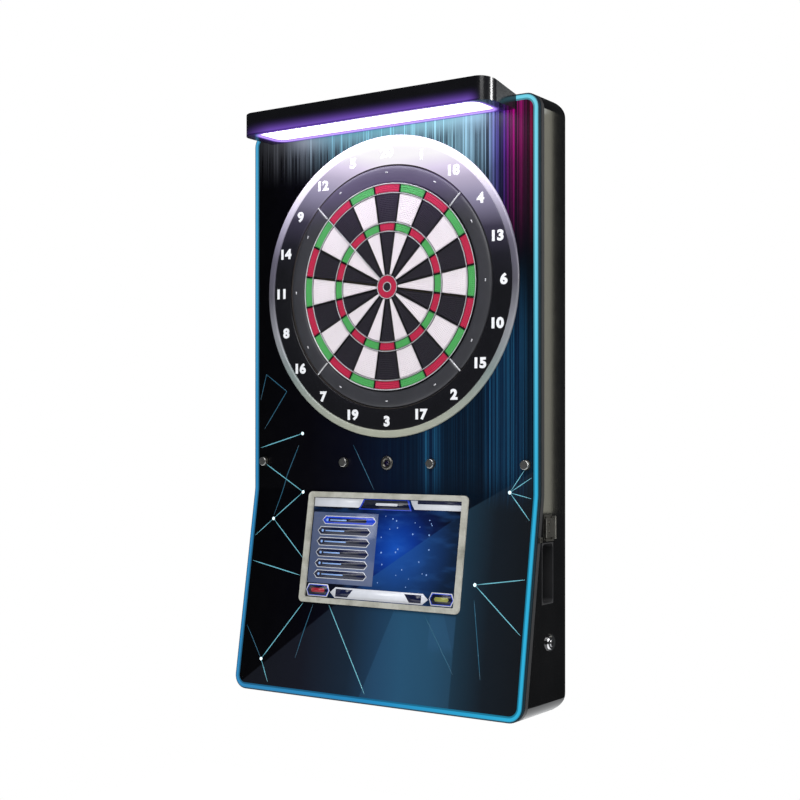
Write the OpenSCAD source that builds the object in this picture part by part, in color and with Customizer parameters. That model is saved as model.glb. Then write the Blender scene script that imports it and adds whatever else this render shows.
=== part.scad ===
// Wall-hung electronic dartboard: a shallow cabinet with a swing-out front that carries
// the scoring target, a lit hood, an edge light, a row of push buttons and a screen.
// X runs to the right seen from the front, Y runs to the back and Z runs up.
// The origin is the middle of the base of the whole object's box.

/* [Cabinet] */
// Width over the edge light
cab_w = 654; // [640:1:700]
// Height of the front
cab_h = 1114; // [1110:1:1140]
// Depth from the upper front face to the wall
cab_d = 100; // [98:1:130]
// Height of the kink in the front
kink_h = 395; // [390:1:405]
// How far the bottom edge comes forward of the upper front face
lean = 65; // [50:1:75]
// Corner radius of the front outline
corner_r = 28; // [20:1:36]
// Radius of the top and bottom edges at the back
back_r = 34; // [26:1:40]
// Thickness of the cabinet walls
wall_t = 12; // [10:0.5:13]
// Radius of the bend along the kink
bend_r = 40; // [20:5:40]

/* [Swinging front] */
// Width of the edge light round the front
strip_w = 12.5; // [10:0.5:14]
// Thickness of the printed sheet
graphic_t = 3; // [2:0.5:4]
// Thickness of the board that backs the printed sheet
backer_t = 5; // [4:0.5:6]
// Thickness of the whole front with its frame
door_t = 18; // [18:0.5:20]
// Width of the frame's bars
frame_w = 30; // [24:1:34]
// Gap between the swinging front and the cabinet
seam_gap = 0.6; // [0.5:0.1:1]

/* [Hood] */
// Width of the hood
hood_w = 560; // [520:1:600]
// How far the hood stands out from the front
hood_d = 98; // [90:1:110]
// Height of the hood's underside
hood_z = 1087; // [1083:1:1090]
// Height of the hood's front face
hood_h = 43; // [40:1:48]
// Corner radius of the hood seen from above
hood_r = 28; // [20:1:34]
// Wall thickness of the hood
hood_wall = 4; // [3:0.5:5]

/* [Target] */
// Height of the bull above the base
bull_z = 785; // [780:1:790]
// Middle radii of the round walls of the web, from the inner bull outwards
web_radii = [8.8, 22.3, 105.5, 122.5, 178.5, 196.5];
// Thickness of the web's walls
web_t = 1.2; // [1:0.1:1.6]
// Gap between a segment and the web
segment_gap = 0.4; // [0.3:0.05:0.5]
// How far a segment is pressed in by a dart
segment_travel = 1.5; // [1:0.1:1.5]
// Outer radius of the catch ring
catch_r = 230.4; // [228:0.1:232]
// Outer radius of the band with the numbers
number_r = 273; // [270:0.5:275]
// Outer radius of the pale rim
rim_r = 287; // [284:0.5:288]

/* [Screen] */
// Width of the screen's bezel
bezel_w = 366; // [360:1:380]
// Height of the screen's bezel
bezel_h = 216; // [212:1:224]
// Width of the bezel's side bars
bezel_side = 12.5; // [10:0.5:14]
// Height of the bezel's top and bottom bars
bezel_bar = 10.5; // [9:0.5:12]
// Distance of the bezel's upper edge below the kink, along the slope
bezel_drop = 3.5; // [3:0.5:8]

/* [Controls] */
// Height of the row of buttons
button_z = 450; // [446:1:454]
// Distance between neighbouring places in the row
button_pitch = 100; // [90:1:100]
// Radius of a button's cap
cap_r = 8.6; // [8:0.1:9]
// How far a cap stands out
cap_out = 8; // [7:0.5:9]
// How far a button is pressed
button_travel = 2.5; // [2:0.1:2.5]
// Outer radius of the ring round the camera
camera_r = 13.5; // [12.5:0.5:14]

/* [Side hardware] */
// How far the hinge and the latch stand out from the sides
side_out = 8.2; // [8.2:0.1:9]
// Radius of the knuckles of the hinge
knuckle_r = 3.7; // [3.5:0.1:3.7]
// Radius of the hinge pin
pin_r = 1.5; // [1.4:0.1:1.6]
// Number of knuckles along the hinge
knuckles = 11; // [7:2:15]
// Height of the lower end of the hinge
hinge_low = 470; // [465:5:490]
// Height of the upper end of the hinge
hinge_high = 1078; // [1040:1:1078]
// Height of the middle of the latch
latch_z = 337; // [335:1:339]
// Height of the middle of the lock
lock_z = 131; // [125:1:140]
// Distance of the lock behind the upper front face
lock_y = 39.5; // [36:0.5:42]
// Radius of the lock's outer flange
lock_r = 15; // [12:0.5:17]

/* [Wall fixing] */
// Distance between the wall bolts across the cabinet
bolt_x = 400; // [380:5:420]
// Distance between the wall bolts up the cabinet
bolt_z = 180; // [160:5:190]
// Radius of a wall bolt hole
bolt_r = 4.5; // [4:0.1:5]
// Height of the middle of the bolt pattern
bolt_mid = 900; // [880:5:920]

/* [Hidden] */
$fn = 96;
sectors = 20;
bend_steps = 6;
hood_top = hood_z + hood_h;
face_y = (hood_d - cab_d) / 2;
slope = atan(lean / kink_h);
bend_z = kink_h + bend_r * tan(slope / 2);
sheet_t = graphic_t + backer_t;
seam = door_t + seam_gap;
target_back = 14;
segment_back = 8;
board_gap = 0.2;
web_back = segment_back + segment_travel + 0.5;
side_x = cab_w / 2;
hinge_x = -side_x - side_out + knuckle_r;
hinge_y = door_t + seam_gap / 2;
barrel_x = side_x + side_out - 3.5;
barrel_y = 49.5;
leaf_t = 1.2;
door_leaf_x = -side_x + 26;
inner_x = side_x - wall_t;
back_in = cab_d - wall_t;
panel_in = cab_d - 3;
bezel_mid = -bezel_drop - bezel_h / 2;
glass_w = bezel_w - 16;
glass_h = bezel_h - 12;
row_x = [-3, -1, 1, 3] * button_pitch;
cam_x = side_x - 30;
cup_low = 201;
cup_high = 311;
cup_front = 9.5;
cup_back = 52.5;
cup_in = 26;
inlet_y = 55;
inlet_z = 92;
rocker_z = 142;
rocker_r = 10.5;
rocker_in = 6;
dark = [0.05, 0.05, 0.06];
steel = [0.72, 0.73, 0.75];
zinc = [0.6, 0.61, 0.63];

// Moves a shape from the upper front face's own plane to its place over the origin.
module place() {
    translate([0, face_y, 0]) children();
}

// Turns a shape drawn below an upright face onto the sloping lower face.
module on_slope() {
    translate([0, face_y, kink_h]) rotate([-slope, 0, 0]) children();
}

// Extrudes a front view from depth y0 to depth y1.
module along_y(y0, y1) {
    translate([0, y1, 0]) rotate([90, 0, 0]) linear_extrude(y1 - y0) children();
}

// Extrudes a side view across the width w.
module along_x(w) {
    translate([-w / 2, 0, 0]) rotate([90, 0, 90]) linear_extrude(w) children();
}

// A round bar along X from x0 to x1.
module bar_x(x0, x1, r) {
    translate([x0, 0, 0]) rotate([0, 90, 0]) cylinder(h = x1 - x0, r = r);
}

// A round bar along Y from y0 to y1.
module bar_y(y0, y1, r) {
    translate([0, y1, 0]) rotate([90, 0, 0]) cylinder(h = y1 - y0, r = r);
}

// A box between two corners.
module block(low, high) {
    translate(low) cube(high - low);
}

// A rectangle centred on the origin with round corners.
module round_rect(w, h, r) {
    square([w - 2 * r, h], center = true);
    square([w, h - 2 * r], center = true);
    for (sx = [-1, 1], sz = [-1, 1]) {
        translate([sx * (w / 2 - r), sz * (h / 2 - r)]) circle(r);
    }
}

// The front outline, drawn in by the distance given.
module outline(inset) {
    translate([0, cab_h / 2]) {
        round_rect(cab_w - 2 * inset, cab_h - 2 * inset, corner_r - inset);
    }
}

// The line at depth d behind the front, from the top over the bend to below the base.
function bend_point(d, a) = [(bend_r + d) * cos(a) - bend_r, bend_z + (bend_r + d) * sin(a)];
function depth_line(d, below) = concat(
    [[d, cab_h + below]],
    [for (i = [0:bend_steps]) bend_point(d, -slope * i / bend_steps)],
    [[d / cos(slope) - (kink_h + below) * tan(slope), -below]]
);
function turned(line) = [for (i = [len(line) - 1:-1:0]) line[i]];

// A sheet of the front between depths d0 and d1, cut to a front outline.
module sheet(d0, d1) {
    intersection() {
        along_y(-150, 150) children();
        along_x(cab_w + 2) polygon(concat(depth_line(d0, 1), turned(depth_line(d1, 1))));
    }
}

// A corner of a side view to be cut away so that radius r is left.
module corner_waste(r) {
    difference() {
        square(r + 1);
        circle(r);
    }
}

// The side view of the cabinet behind depth d, drawn in from the back by the distance given.
module side_view(d, inset) {
    y1 = cab_d - inset;
    r = back_r - inset;
    difference() {
        polygon(concat(depth_line(d, 1), [[y1, -1], [y1, cab_h + 1]]));
        translate([y1 - r, cab_h - inset - r]) corner_waste(r);
        translate([y1 - r, inset + r]) mirror([0, 1]) corner_waste(r);
    }
}

module cabinet_solid(d, inset, w) {
    intersection() {
        along_y(-150, 150) outline(inset);
        along_x(w) side_view(d, inset);
    }
}

// The part of the closed cabinet between x0 and x1 and between z0 and z1.
module cabinet_part(x0, x1, z0, z1) {
    intersection() {
        cabinet_solid(seam, 0, cab_w + 2);
        block([x0, -150, z0], [x1, 150, z1]);
    }
}

module cabinet_side_left() {
    color(dark) place() difference() {
        cabinet_part(-side_x - 1, -inner_x, -1, cab_h + 1);
        // Rebate for the hinge leaf, and the opening for the power inlet
        block([-side_x - 1, seam - 1, hinge_low], [-inner_x + 1, seam + leaf_t, hinge_high]);
        block([-side_x - 1, inlet_y - 14, inlet_z - 22], [1 - inner_x, inlet_y + 14, rocker_z + 20]);
    }
}

// The right side is a lower and an upper board that meet at the top of the grip.
module cabinet_side_right() {
    color(dark) place() difference() {
        union() {
            cabinet_part(inner_x, side_x + 1, -1, cup_high - board_gap / 2);
            cabinet_part(inner_x, side_x + 1, cup_high + board_gap / 2, cab_h + 1);
        }
        // Openings for the lock and the grip cup
        translate([0, lock_y, lock_z]) bar_x(inner_x - 1, side_x + 1, 10);
        block([inner_x - 1, cup_front, cup_low], [side_x + 1, cup_back, cup_high]);
    }
}

// The top or the bottom between the sides, with its round edge at the back.
module cabinet_end(z0, z1) {
    color(dark) place() difference() {
        cabinet_part(-inner_x, inner_x, z0, z1);
        intersection() {
            along_x(cab_w) side_view(seam - 5, wall_t);
            block([-side_x, -150, wall_t], [side_x, 150, cab_h - wall_t]);
        }
    }
}

module wall_holes(y0, y1) {
    for (sx = [-1, 1], sz = [-1, 1]) {
        translate([sx * bolt_x / 2, 0, bolt_mid + sz * bolt_z / 2]) bar_y(y0, y1, bolt_r);
    }
}

module back_panel() {
    color([0.15, 0.15, 0.16]) place() difference() {
        block([-inner_x, panel_in, back_r], [inner_x, cab_d, cab_h - back_r]);
        wall_holes(cab_d - 4, cab_d + 1);
        // Rows of cooling slots
        for (row = [0:5], side = [-1, 1]) {
            translate([side * 120, 0, 160 + row * 14]) {
                along_y(cab_d - 4, cab_d + 1) round_rect(90, 5, 2.4);
            }
        }
    }
}

module wall_plate() {
    color(zinc) place() difference() {
        along_y(cab_d - 8, panel_in) translate([0, bolt_mid]) round_rect(460, 240, 8);
        wall_holes(cab_d - 9, cab_d - 2);
        along_y(cab_d - 9, cab_d - 2) translate([0, bolt_mid]) round_rect(330, 120, 10);
    }
}

// The tongue that joins a knuckle to its leaf: the cabinet's behind the pin, the front's before it.
module knuckle_tongue(first, h) {
    y0 = first == 0 ? seam : door_t - leaf_t;
    translate([hinge_x, y0, 0]) cube([-side_x + 1 - hinge_x, leaf_t, h]);
}

// One leaf's knuckles, every second one from the first given.
module hinge_knuckles(first, bore) {
    step = (hinge_high - hinge_low) / knuckles;
    gap = 0.6;
    for (i = [first:2:knuckles - 1]) {
        translate([0, 0, hinge_low + i * step + gap / 2]) difference() {
            union() {
                translate([hinge_x, hinge_y, 0]) cylinder(h = step - gap, r = knuckle_r);
                knuckle_tongue(first, step - gap);
            }
            translate([hinge_x, hinge_y, -1]) cylinder(h = step + 2, r = bore);
        }
    }
}

module hinge_leaf_fixed() {
    color(zinc) place() {
        hinge_knuckles(0, pin_r);
        block([-side_x + 0.4, seam, hinge_low], [-inner_x, seam + leaf_t, hinge_high]);
    }
}

module hinge_leaf_door() {
    color(zinc) place() {
        hinge_knuckles(1, pin_r + 0.3);
        block([-side_x + 0.4, door_t - leaf_t, hinge_low], [door_leaf_x, door_t, hinge_high]);
    }
}

module hinge_pin() {
    color(steel) place() {
        translate([hinge_x, hinge_y, hinge_low - 3]) {
            cylinder(h = hinge_high - hinge_low + 6, r = pin_r);
            cylinder(h = 2.5, r = pin_r + 1.2);
        }
    }
}

module power_supply() {
    color(zinc) place() difference() {
        block([-200, 46, 260], [-60, panel_in, 360]);
        // Cooling slots, and the ledge of the terminals
        for (i = [0:7]) {
            translate([-185 + i * 16, 0, 310]) along_y(45, 48) round_rect(5, 70, 2.4);
        }
        block([-190, 45, 259], [-70, 54, 270]);
    }
}

module main_board() {
    color([0.05, 0.3, 0.14]) place() {
        block([20, back_in - 10, 120], [230, back_in - 8, 300]);
        for (x = [30, 220], z = [130, 290]) {
            translate([x, 0, z]) bar_y(back_in - 8, panel_in, 4);
        }
        // Chips with their heat sink, capacitors and a row of plugs
        block([90, back_in - 18, 200], [130, back_in - 10, 240]);
        block([150, back_in - 14, 190], [176, back_in - 10, 216]);
        for (i = [0:3]) {
            translate([50, 0, 150 + i * 24]) bar_y(back_in - 28, back_in - 10, 7);
            block([100 + i * 30, back_in - 20, 124], [122 + i * 30, back_in - 10, 134]);
        }
    }
}

module power_inlet() {
    x0 = -side_x;
    color(dark) place() difference() {
        union() {
            block([x0 - 2, inlet_y - 17, inlet_z - 26], [x0, inlet_y + 17, rocker_z + 24]);
            block([x0, inlet_y - 14, inlet_z - 22], [x0 + 26, inlet_y + 14, rocker_z + 20]);
        }
        // Socket with a chamfered corner on each side
        translate([x0 - 3, inlet_y, inlet_z]) rotate([90, 0, 90]) linear_extrude(19) {
            polygon([[-8, -12], [8, -12], [8, 8], [5, 12], [-5, 12], [-8, 8]]);
        }
        // Round seat of the rocker, open at the mouth
        translate([x0 + rocker_in, inlet_y, rocker_z]) {
            bar_y(-10, 10, rocker_r + 0.5);
            block([-rocker_in - 4, -10, -rocker_r - 0.5], [0, 10, rocker_r + 0.5]);
        }
    }
    color(steel) place() for (pin = [[-4, -5], [4, -5], [0, 3]]) {
        translate([x0 + 8, inlet_y + pin[0] - 1, inlet_z + pin[1] - 2]) cube([8, 2, 4]);
    }
}

module rocker() {
    tilt = 9;
    valley = rocker_in - 1;
    flank = valley + 20 * tan(tilt);
    color([0.5, 0.04, 0.04]) place() translate([-side_x + rocker_in, inlet_y, rocker_z]) {
        along_y(-9.5, 9.5) rotate(tilt) difference() {
            circle(rocker_r);
            // The two press faces, meeting in a shallow valley
            polygon([[-30, -20], [-flank, -20], [-valley, 0], [-flank, 20], [-30, 20]]);
            translate([3, -15]) square([15, 30]);
        }
    }
}

module grip_cup() {
    color([0.03, 0.03, 0.035]) place() difference() {
        block([side_x - cup_in, cup_front, cup_low], [side_x, cup_back, cup_high]);
        translate([side_x - cup_in + 2, (cup_front + cup_back) / 2, (cup_low + cup_high) / 2]) {
            rotate([90, 0, 90]) linear_extrude(cup_in) {
                round_rect(cup_back - cup_front - 4, cup_high - cup_low - 4, 8);
            }
        }
    }
}

// Two ears that hold a pin across the latch, and the plate that they stand on.
module latch_base() {
    ear = 3;
    color(zinc) place() translate([0, 0, latch_z]) {
        difference() {
            block([side_x, 15, -23], [side_x + 2, 44, 24]);
            for (z = [-18, 19]) {
                translate([0, 20, z]) bar_x(side_x - 1, side_x + 3, 2);
            }
        }
        // Lower lip
        block([side_x + 2, 15, -23], [side_x + 6, 44, -20]);
        for (z = [-20, 18]) {
            translate([0, 0, z]) {
                translate([barrel_x, barrel_y, 0]) cylinder(h = ear, r = 3.5);
                block([side_x, 40, 0], [barrel_x, barrel_y + 3, ear]);
            }
        }
        translate([barrel_x, barrel_y, -20]) cylinder(h = 38 + ear, r = pin_r);
    }
}

module latch_paddle() {
    low = -16.6;
    tall = 34.2;
    edge_y = 17;
    color(steel) place() translate([0, 0, latch_z]) difference() {
        union() {
            translate([barrel_x, barrel_y, low]) cylinder(h = tall, r = 3.2);
            block([side_x + 3, edge_y, low], [side_x + 5.4, barrel_y, low + tall]);
            // Rolled finger edge
            translate([side_x + 4.6, edge_y, low]) cylinder(h = tall, r = 1.6);
            // Two raised studs
            for (z = [-7, 9]) {
                translate([0, 30, z]) bar_x(side_x + 5.4, side_x + 7.6, 4.2);
            }
        }
        translate([barrel_x, barrel_y, low - 1]) cylinder(h = tall + 2, r = pin_r + 0.3);
    }
}

module latch_keeper() {
    color(zinc) place() translate([0, 0, latch_z]) difference() {
        block([side_x, -5, -24], [side_x + 4, 4.5, -15]);
        translate([0, 0, -19.5]) bar_x(side_x - 1, side_x + 5, 2);
    }
}

module lock_body() {
    color(steel) place() translate([0, lock_y, lock_z]) difference() {
        union() {
            bar_x(side_x, side_x + 2.5, lock_r);
            bar_x(side_x + 2.5, side_x + 5, lock_r - 3);
            bar_x(side_x - 26, side_x, 9.8);
            translate([inner_x - 6, 0, 0]) rotate([0, 90, 0]) cylinder(h = 6, r = 14, $fn = 6);
        }
        bar_x(side_x - 27, side_x + 6, 7.3);
    }
}

module lock_plug() {
    color(steel) place() translate([0, lock_y, lock_z]) {
        difference() {
            bar_x(cam_x, side_x + 6, 7);
            // Key slot
            block([side_x + 1, -0.9, -4.5], [side_x + 7, 0.9, 4.5]);
        }
        // Cam, pointing to the front when it is open, and the screw that holds it
        block([cam_x, -32, -6], [cam_x + 2.5, 0, 6]);
        bar_x(cam_x - 4, cam_x, 5);
    }
}

// The hook plate that the cam turns in front of, on the back of the sloping frame.
module lock_strike() {
    plate = 2;
    web_x = cam_x - 10;
    hook = door_t + 71;
    color(zinc) on_slope() translate([0, 0, (lock_z + 24 - kink_h) / cos(slope)]) {
        block([web_x, door_t, -8], [side_x - 16, door_t + plate, 18]);
        block([web_x, door_t + plate, 3], [web_x + plate, hook + plate, 18]);
        block([web_x + plate, hook, 3], [cam_x + 2.7, hook + plate, 18]);
    }
}

module door_frame() {
    inner_w = cab_w - 2 * frame_w;
    inner_h = cab_h - 2 * frame_w;
    color(dark) place() difference() {
        union() {
            sheet(sheet_t, door_t) difference() {
                outline(0);
                translate([0, cab_h / 2]) square([inner_w, inner_h], center = true);
            }
            // Rail below the row of buttons
            along_y(sheet_t, door_t) translate([0, 424]) square([inner_w + 2, 16], center = true);
        }
        block([-side_x - 1, door_t - leaf_t, hinge_low], [door_leaf_x, door_t + 1, hinge_high]);
        // Room for the nuts of the outer buttons
        for (x = [row_x[0], row_x[3]]) {
            translate([x, 0, button_z]) bar_y(sheet_t - 1, door_t + 1, 14);
        }
    }
}

// Front views of the holes that both the printed sheet and its backing board have.
module control_holes() {
    translate([0, button_z]) {
        circle(11);
        for (x = row_x) {
            translate([x, 0]) circle(cap_r + 0.2);
        }
    }
}

module screen_hole(d0, d1) {
    on_slope() along_y(d0 - 1, d1 + 1) translate([0, bezel_mid]) square([glass_w, glass_h], center = true);
}

module panel_backer() {
    color([0.35, 0.27, 0.18]) difference() {
        place() difference() {
            sheet(graphic_t, sheet_t) outline(strip_w);
            along_y(0, sheet_t + 1) control_holes();
            translate([0, 0, bull_z]) bar_y(0, sheet_t + 1, catch_r + 0.6);
        }
        screen_hole(graphic_t, sheet_t);
    }
}

module front_panel() {
    color([0.02, 0.05, 0.16]) difference() {
        place() difference() {
            sheet(0, graphic_t) outline(strip_w);
            along_y(-1, graphic_t + 1) control_holes();
            translate([0, 0, bull_z]) bar_y(-1, graphic_t + 1, rim_r + 0.4);
        }
        screen_hole(0, graphic_t);
    }
}

module edge_light() {
    color([0.1, 0.6, 0.9]) place() sheet(0, sheet_t) difference() {
        outline(0);
        outline(strip_w);
    }
}

// The hood's plan, drawn in by the distance given.
module hood_plan(inset) {
    w = hood_w - 2 * inset;
    r = hood_r - inset;
    translate([-w / 2, inset - hood_d + r]) square([w, hood_d - 2 * inset - r]);
    translate([-w / 2 + r, inset - hood_d]) square([w - 2 * r, r + 1]);
    for (sx = [-1, 1]) {
        translate([sx * (w / 2 - r), inset - hood_d + r]) circle(r);
    }
}

// The hood's side view, drawn in by the distance given; its top falls to the top of the front.
module hood_side(inset) {
    top_back = cab_h - 1 - inset;
    top_front = hood_top - inset;
    polygon([[1, hood_z + inset], [1, top_back], [-hood_d, top_front], [-hood_d, hood_z + inset]]);
}

module hood_shell() {
    window_w = hood_w - 60;
    color(dark) place() difference() {
        intersection() {
            translate([0, 0, hood_z - 1]) linear_extrude(hood_h + 2) hood_plan(0);
            along_x(hood_w) hood_side(0);
        }
        intersection() {
            translate([0, 0, hood_z + 3]) linear_extrude(hood_h) hood_plan(hood_wall);
            along_x(hood_w) hood_side(3);
        }
        // Window of the light
        translate([0, -hood_d / 2 - 1, hood_z - 1]) linear_extrude(5) round_rect(window_w, 80, 20);
    }
}

module hood_diffuser() {
    color([0.95, 0.93, 1]) place() translate([0, 0, hood_z + 3]) {
        linear_extrude(3) hood_plan(hood_wall + 1);
    }
}

module hood_led_board() {
    color([0.92, 0.92, 0.9]) place() {
        block([-hood_w / 2 + hood_wall, -70, hood_z + 16], [hood_w / 2 - hood_wall, -30, hood_z + 17.6]);
        for (i = [-11:11]) {
            block([i * 23 - 3, -53, hood_z + 14.6], [i * 23 + 3, -47, hood_z + 16]);
        }
    }
}

// A flat ring round the bull between two radii and two depths.
module target_ring(r0, r1, y0, y1) {
    place() translate([0, 0, bull_z]) difference() {
        bar_y(y0, y1, r1);
        bar_y(y0 - 1, y1 + 1, r0);
    }
}

module number_ring() {
    color([0.06, 0.06, 0.07]) target_ring(catch_r + 0.6, number_r, -1, graphic_t);
}

module rim_ring() {
    color([0.8, 0.8, 0.78]) target_ring(number_r, rim_r, -4, graphic_t);
}

// A wedge from the bull upwards that leaves the clearance given along both of its sides.
module wedge(half_angle, clearance) {
    apex = clearance / sin(half_angle);
    far = 260;
    polygon([[0, apex], [-(far - apex) * tan(half_angle), far], [(far - apex) * tan(half_angle), far]]);
}

module catch_ring(quadrant) {
    color([0.17, 0.17, 0.19]) place() translate([0, 0, bull_z]) along_y(-1.5, target_back) {
        rotate(quadrant * 90) intersection() {
            difference() {
                circle(catch_r);
                circle(web_radii[5] + 1.9);
            }
            wedge(45, 0.6);
        }
    }
}

module spider() {
    last = len(web_radii) - 1;
    color([0.1, 0.1, 0.11]) place() translate([0, 0, bull_z]) along_y(-1, web_back) {
        for (i = [0:last]) {
            difference() {
                circle(web_radii[i] + (i == last ? 1.5 : web_t / 2));
                circle(web_radii[i] - web_t / 2);
            }
        }
        for (k = [0:sectors - 1]) {
            rotate((k + 0.5) * 360 / sectors) {
                translate([-web_t / 2, web_radii[1]]) square([web_t, web_radii[last] - web_radii[1]]);
            }
        }
    }
}

// Every second segment of one ring, from the sector given.
module segments(ring, first) {
    inset = web_t / 2 + segment_gap;
    place() translate([0, 0, bull_z]) along_y(0, segment_back) {
        for (k = [first:2:sectors - 1]) {
            rotate(k * 360 / sectors) intersection() {
                difference() {
                    circle(web_radii[ring + 1] - inset);
                    circle(web_radii[ring] + inset);
                }
                wedge(180 / sectors, inset);
            }
        }
    }
}

module double_red() { color([0.75, 0.1, 0.2]) segments(4, 0); }
module double_green() { color([0.2, 0.65, 0.3]) segments(4, 1); }
module outer_black() { color([0.09, 0.09, 0.1]) segments(3, 0); }
module outer_white() { color([0.93, 0.9, 0.9]) segments(3, 1); }
module treble_red() { color([0.75, 0.1, 0.2]) segments(2, 0); }
module treble_green() { color([0.2, 0.65, 0.3]) segments(2, 1); }
module inner_black() { color([0.09, 0.09, 0.1]) segments(1, 0); }
module inner_white() { color([0.93, 0.9, 0.9]) segments(1, 1); }

module bull_outer() {
    inset = web_t / 2 + segment_gap;
    color([0.75, 0.1, 0.2]) target_ring(web_radii[0] + inset, web_radii[1] - inset, 0, segment_back);
}

module bull_inner() {
    color([0.09, 0.09, 0.1]) place() translate([0, 0, bull_z]) {
        bar_y(0, segment_back, web_radii[0] - web_t / 2 - segment_gap);
    }
}

module contact_membrane() {
    color([0.75, 0.6, 0.3]) place() translate([0, 0, bull_z]) {
        bar_y(web_back, web_back + 1.2, web_radii[5] + 1.5);
    }
}

module rubber_mat() {
    color([0.2, 0.2, 0.2]) place() translate([0, 0, bull_z]) {
        bar_y(web_back + 1.2, target_back, web_radii[5] + 1.5);
    }
}

module target_plate() {
    color([0.25, 0.25, 0.27]) place() translate([0, 0, bull_z]) difference() {
        bar_y(sheet_t, door_t, 260);
        bar_y(sheet_t - 1, target_back, catch_r + 3);
        for (k = [0:5]) {
            rotate([0, k * 60, 0]) translate([250, 0, 0]) bar_y(target_back, door_t + 1, 2.5);
        }
    }
}

module screen_bezel() {
    color([0.7, 0.69, 0.64]) on_slope() translate([0, 0, bezel_mid]) along_y(-4, 0) difference() {
        round_rect(bezel_w, bezel_h, 9);
        round_rect(bezel_w - 2 * bezel_side, bezel_h - 2 * bezel_bar, 2);
    }
}

// The whole stack of the screen fits the hole in the sheet and its backing board.
module screen_slab(d0, d1, margin) {
    on_slope() along_y(d0, d1) translate([0, bezel_mid]) {
        square([glass_w - 2 * margin, glass_h - 2 * margin], center = true);
    }
}

module screen_glass() {
    color([0.1, 0.12, 0.2, 0.5]) screen_slab(0, graphic_t, 0.3);
}

module lcd_panel() {
    color([0.02, 0.05, 0.2]) {
        screen_slab(graphic_t, 15, 0.5);
        screen_slab(15, 19, 20);
    }
}

module lcd_bracket() {
    color(zinc) on_slope() translate([0, 0, bezel_mid]) {
        for (side = [-1, 1]) {
            z0 = side * (glass_h / 2 - 10);
            block([-glass_w / 2 - 26, 15, z0 - 8], [glass_w / 2 + 26, 17, z0 + 8]);
            for (end = [-1, 1]) {
                x0 = end * (glass_w / 2 + 14);
                block([x0 - 12, sheet_t, z0 - 8], [x0 + 12, 15, z0 + 8]);
            }
        }
    }
}

module camera_ring() {
    tube = 4;
    color([0.6, 0.6, 0.6]) place() translate([0, 0, button_z]) rotate([90, 0, 0]) {
        // A rounded ring on the face with a collar through the sheet
        rotate_extrude() {
            translate([camera_r - tube, 0]) intersection() {
                circle(tube);
                translate([-tube, 0]) square(2 * tube);
            }
        }
        translate([0, 0, -sheet_t]) difference() {
            cylinder(h = sheet_t, r = 10.8);
            translate([0, 0, -1]) cylinder(h = sheet_t + 2, r = 8.9);
        }
    }
}

module camera_lens() {
    color([0.01, 0.01, 0.015]) place() translate([0, 0, button_z]) {
        bar_y(1, 22, 8.8);
        intersection() {
            translate([0, 6, 0]) sphere(r = 6.4);
            bar_y(-2, 1, 5.2);
        }
    }
}

module button_barrels() {
    color([0.3, 0.3, 0.32]) place() for (x = row_x) translate([x, 0, button_z]) difference() {
        union() {
            bar_y(-1, 0, cap_r + 1);
            bar_y(0, 22, cap_r);
            translate([0, sheet_t + 4, 0]) rotate([90, 30, 0]) cylinder(h = 4, r = 13, $fn = 6);
        }
        bar_y(-2, 16, cap_r - 1.5);
    }
}

module button(i) {
    edge = 1.2;
    cap_t = cap_out - button_travel - 1.3;
    color([0.8, 0.8, 0.8]) place() translate([row_x[i], 0, button_z]) rotate([90, 0, 0]) {
        // Cap with a rounded edge, on a stem that runs in the barrel
        rotate_extrude() {
            translate([0, cap_out - cap_t]) square([cap_r - edge, cap_t]);
            translate([0, cap_out - cap_t]) square([cap_r, cap_t - edge]);
            translate([cap_r - edge, cap_out - edge]) circle(edge);
            translate([0, -12]) square([cap_r - 1.8, cap_out + 8]);
        }
    }
}

cabinet_side_left();
cabinet_side_right();
cabinet_end(cab_h - back_r, cab_h + 1);  // cabinet_top
cabinet_end(-1, back_r);  // cabinet_bottom
back_panel();
wall_plate();
hinge_leaf_fixed();
hinge_pin();
power_supply();
main_board();
power_inlet();
grip_cup();
latch_base();
lock_body();
door_frame();
panel_backer();
front_panel();
edge_light();
hinge_leaf_door();
latch_keeper();
lock_strike();
hood_shell();
hood_diffuser();
hood_led_board();
number_ring();
rim_ring();
catch_ring(0);  // catch_ring_1
catch_ring(1);  // catch_ring_2
catch_ring(2);  // catch_ring_3
catch_ring(3);  // catch_ring_4
spider();
contact_membrane();
rubber_mat();
target_plate();
screen_bezel();
screen_glass();
lcd_panel();
lcd_bracket();
camera_ring();
camera_lens();
button_barrels();
button(0);  // button_1
button(1);  // button_2
button(2);  // button_3
button(3);  // button_4
latch_paddle();
lock_plug();
rocker();
double_red();
double_green();
outer_black();
outer_white();
treble_red();
treble_green();
inner_black();
inner_white();
bull_outer();
bull_inner();
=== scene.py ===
"""Looks of a wall-hung electronic dartboard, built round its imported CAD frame.

Everything is in metres in the frame of the part: X to the right, Y to the wall, Z up.
The front of the cabinet is a thin sheet that stands upright above a kink and slopes
forward below it. Places on it are given by x, by the height z and by the depth behind it.
"""

import math
import random

import bmesh
import bpy
from mathutils import Matrix, Vector
from mathutils.geometry import delaunay_2d_cdt


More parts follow.
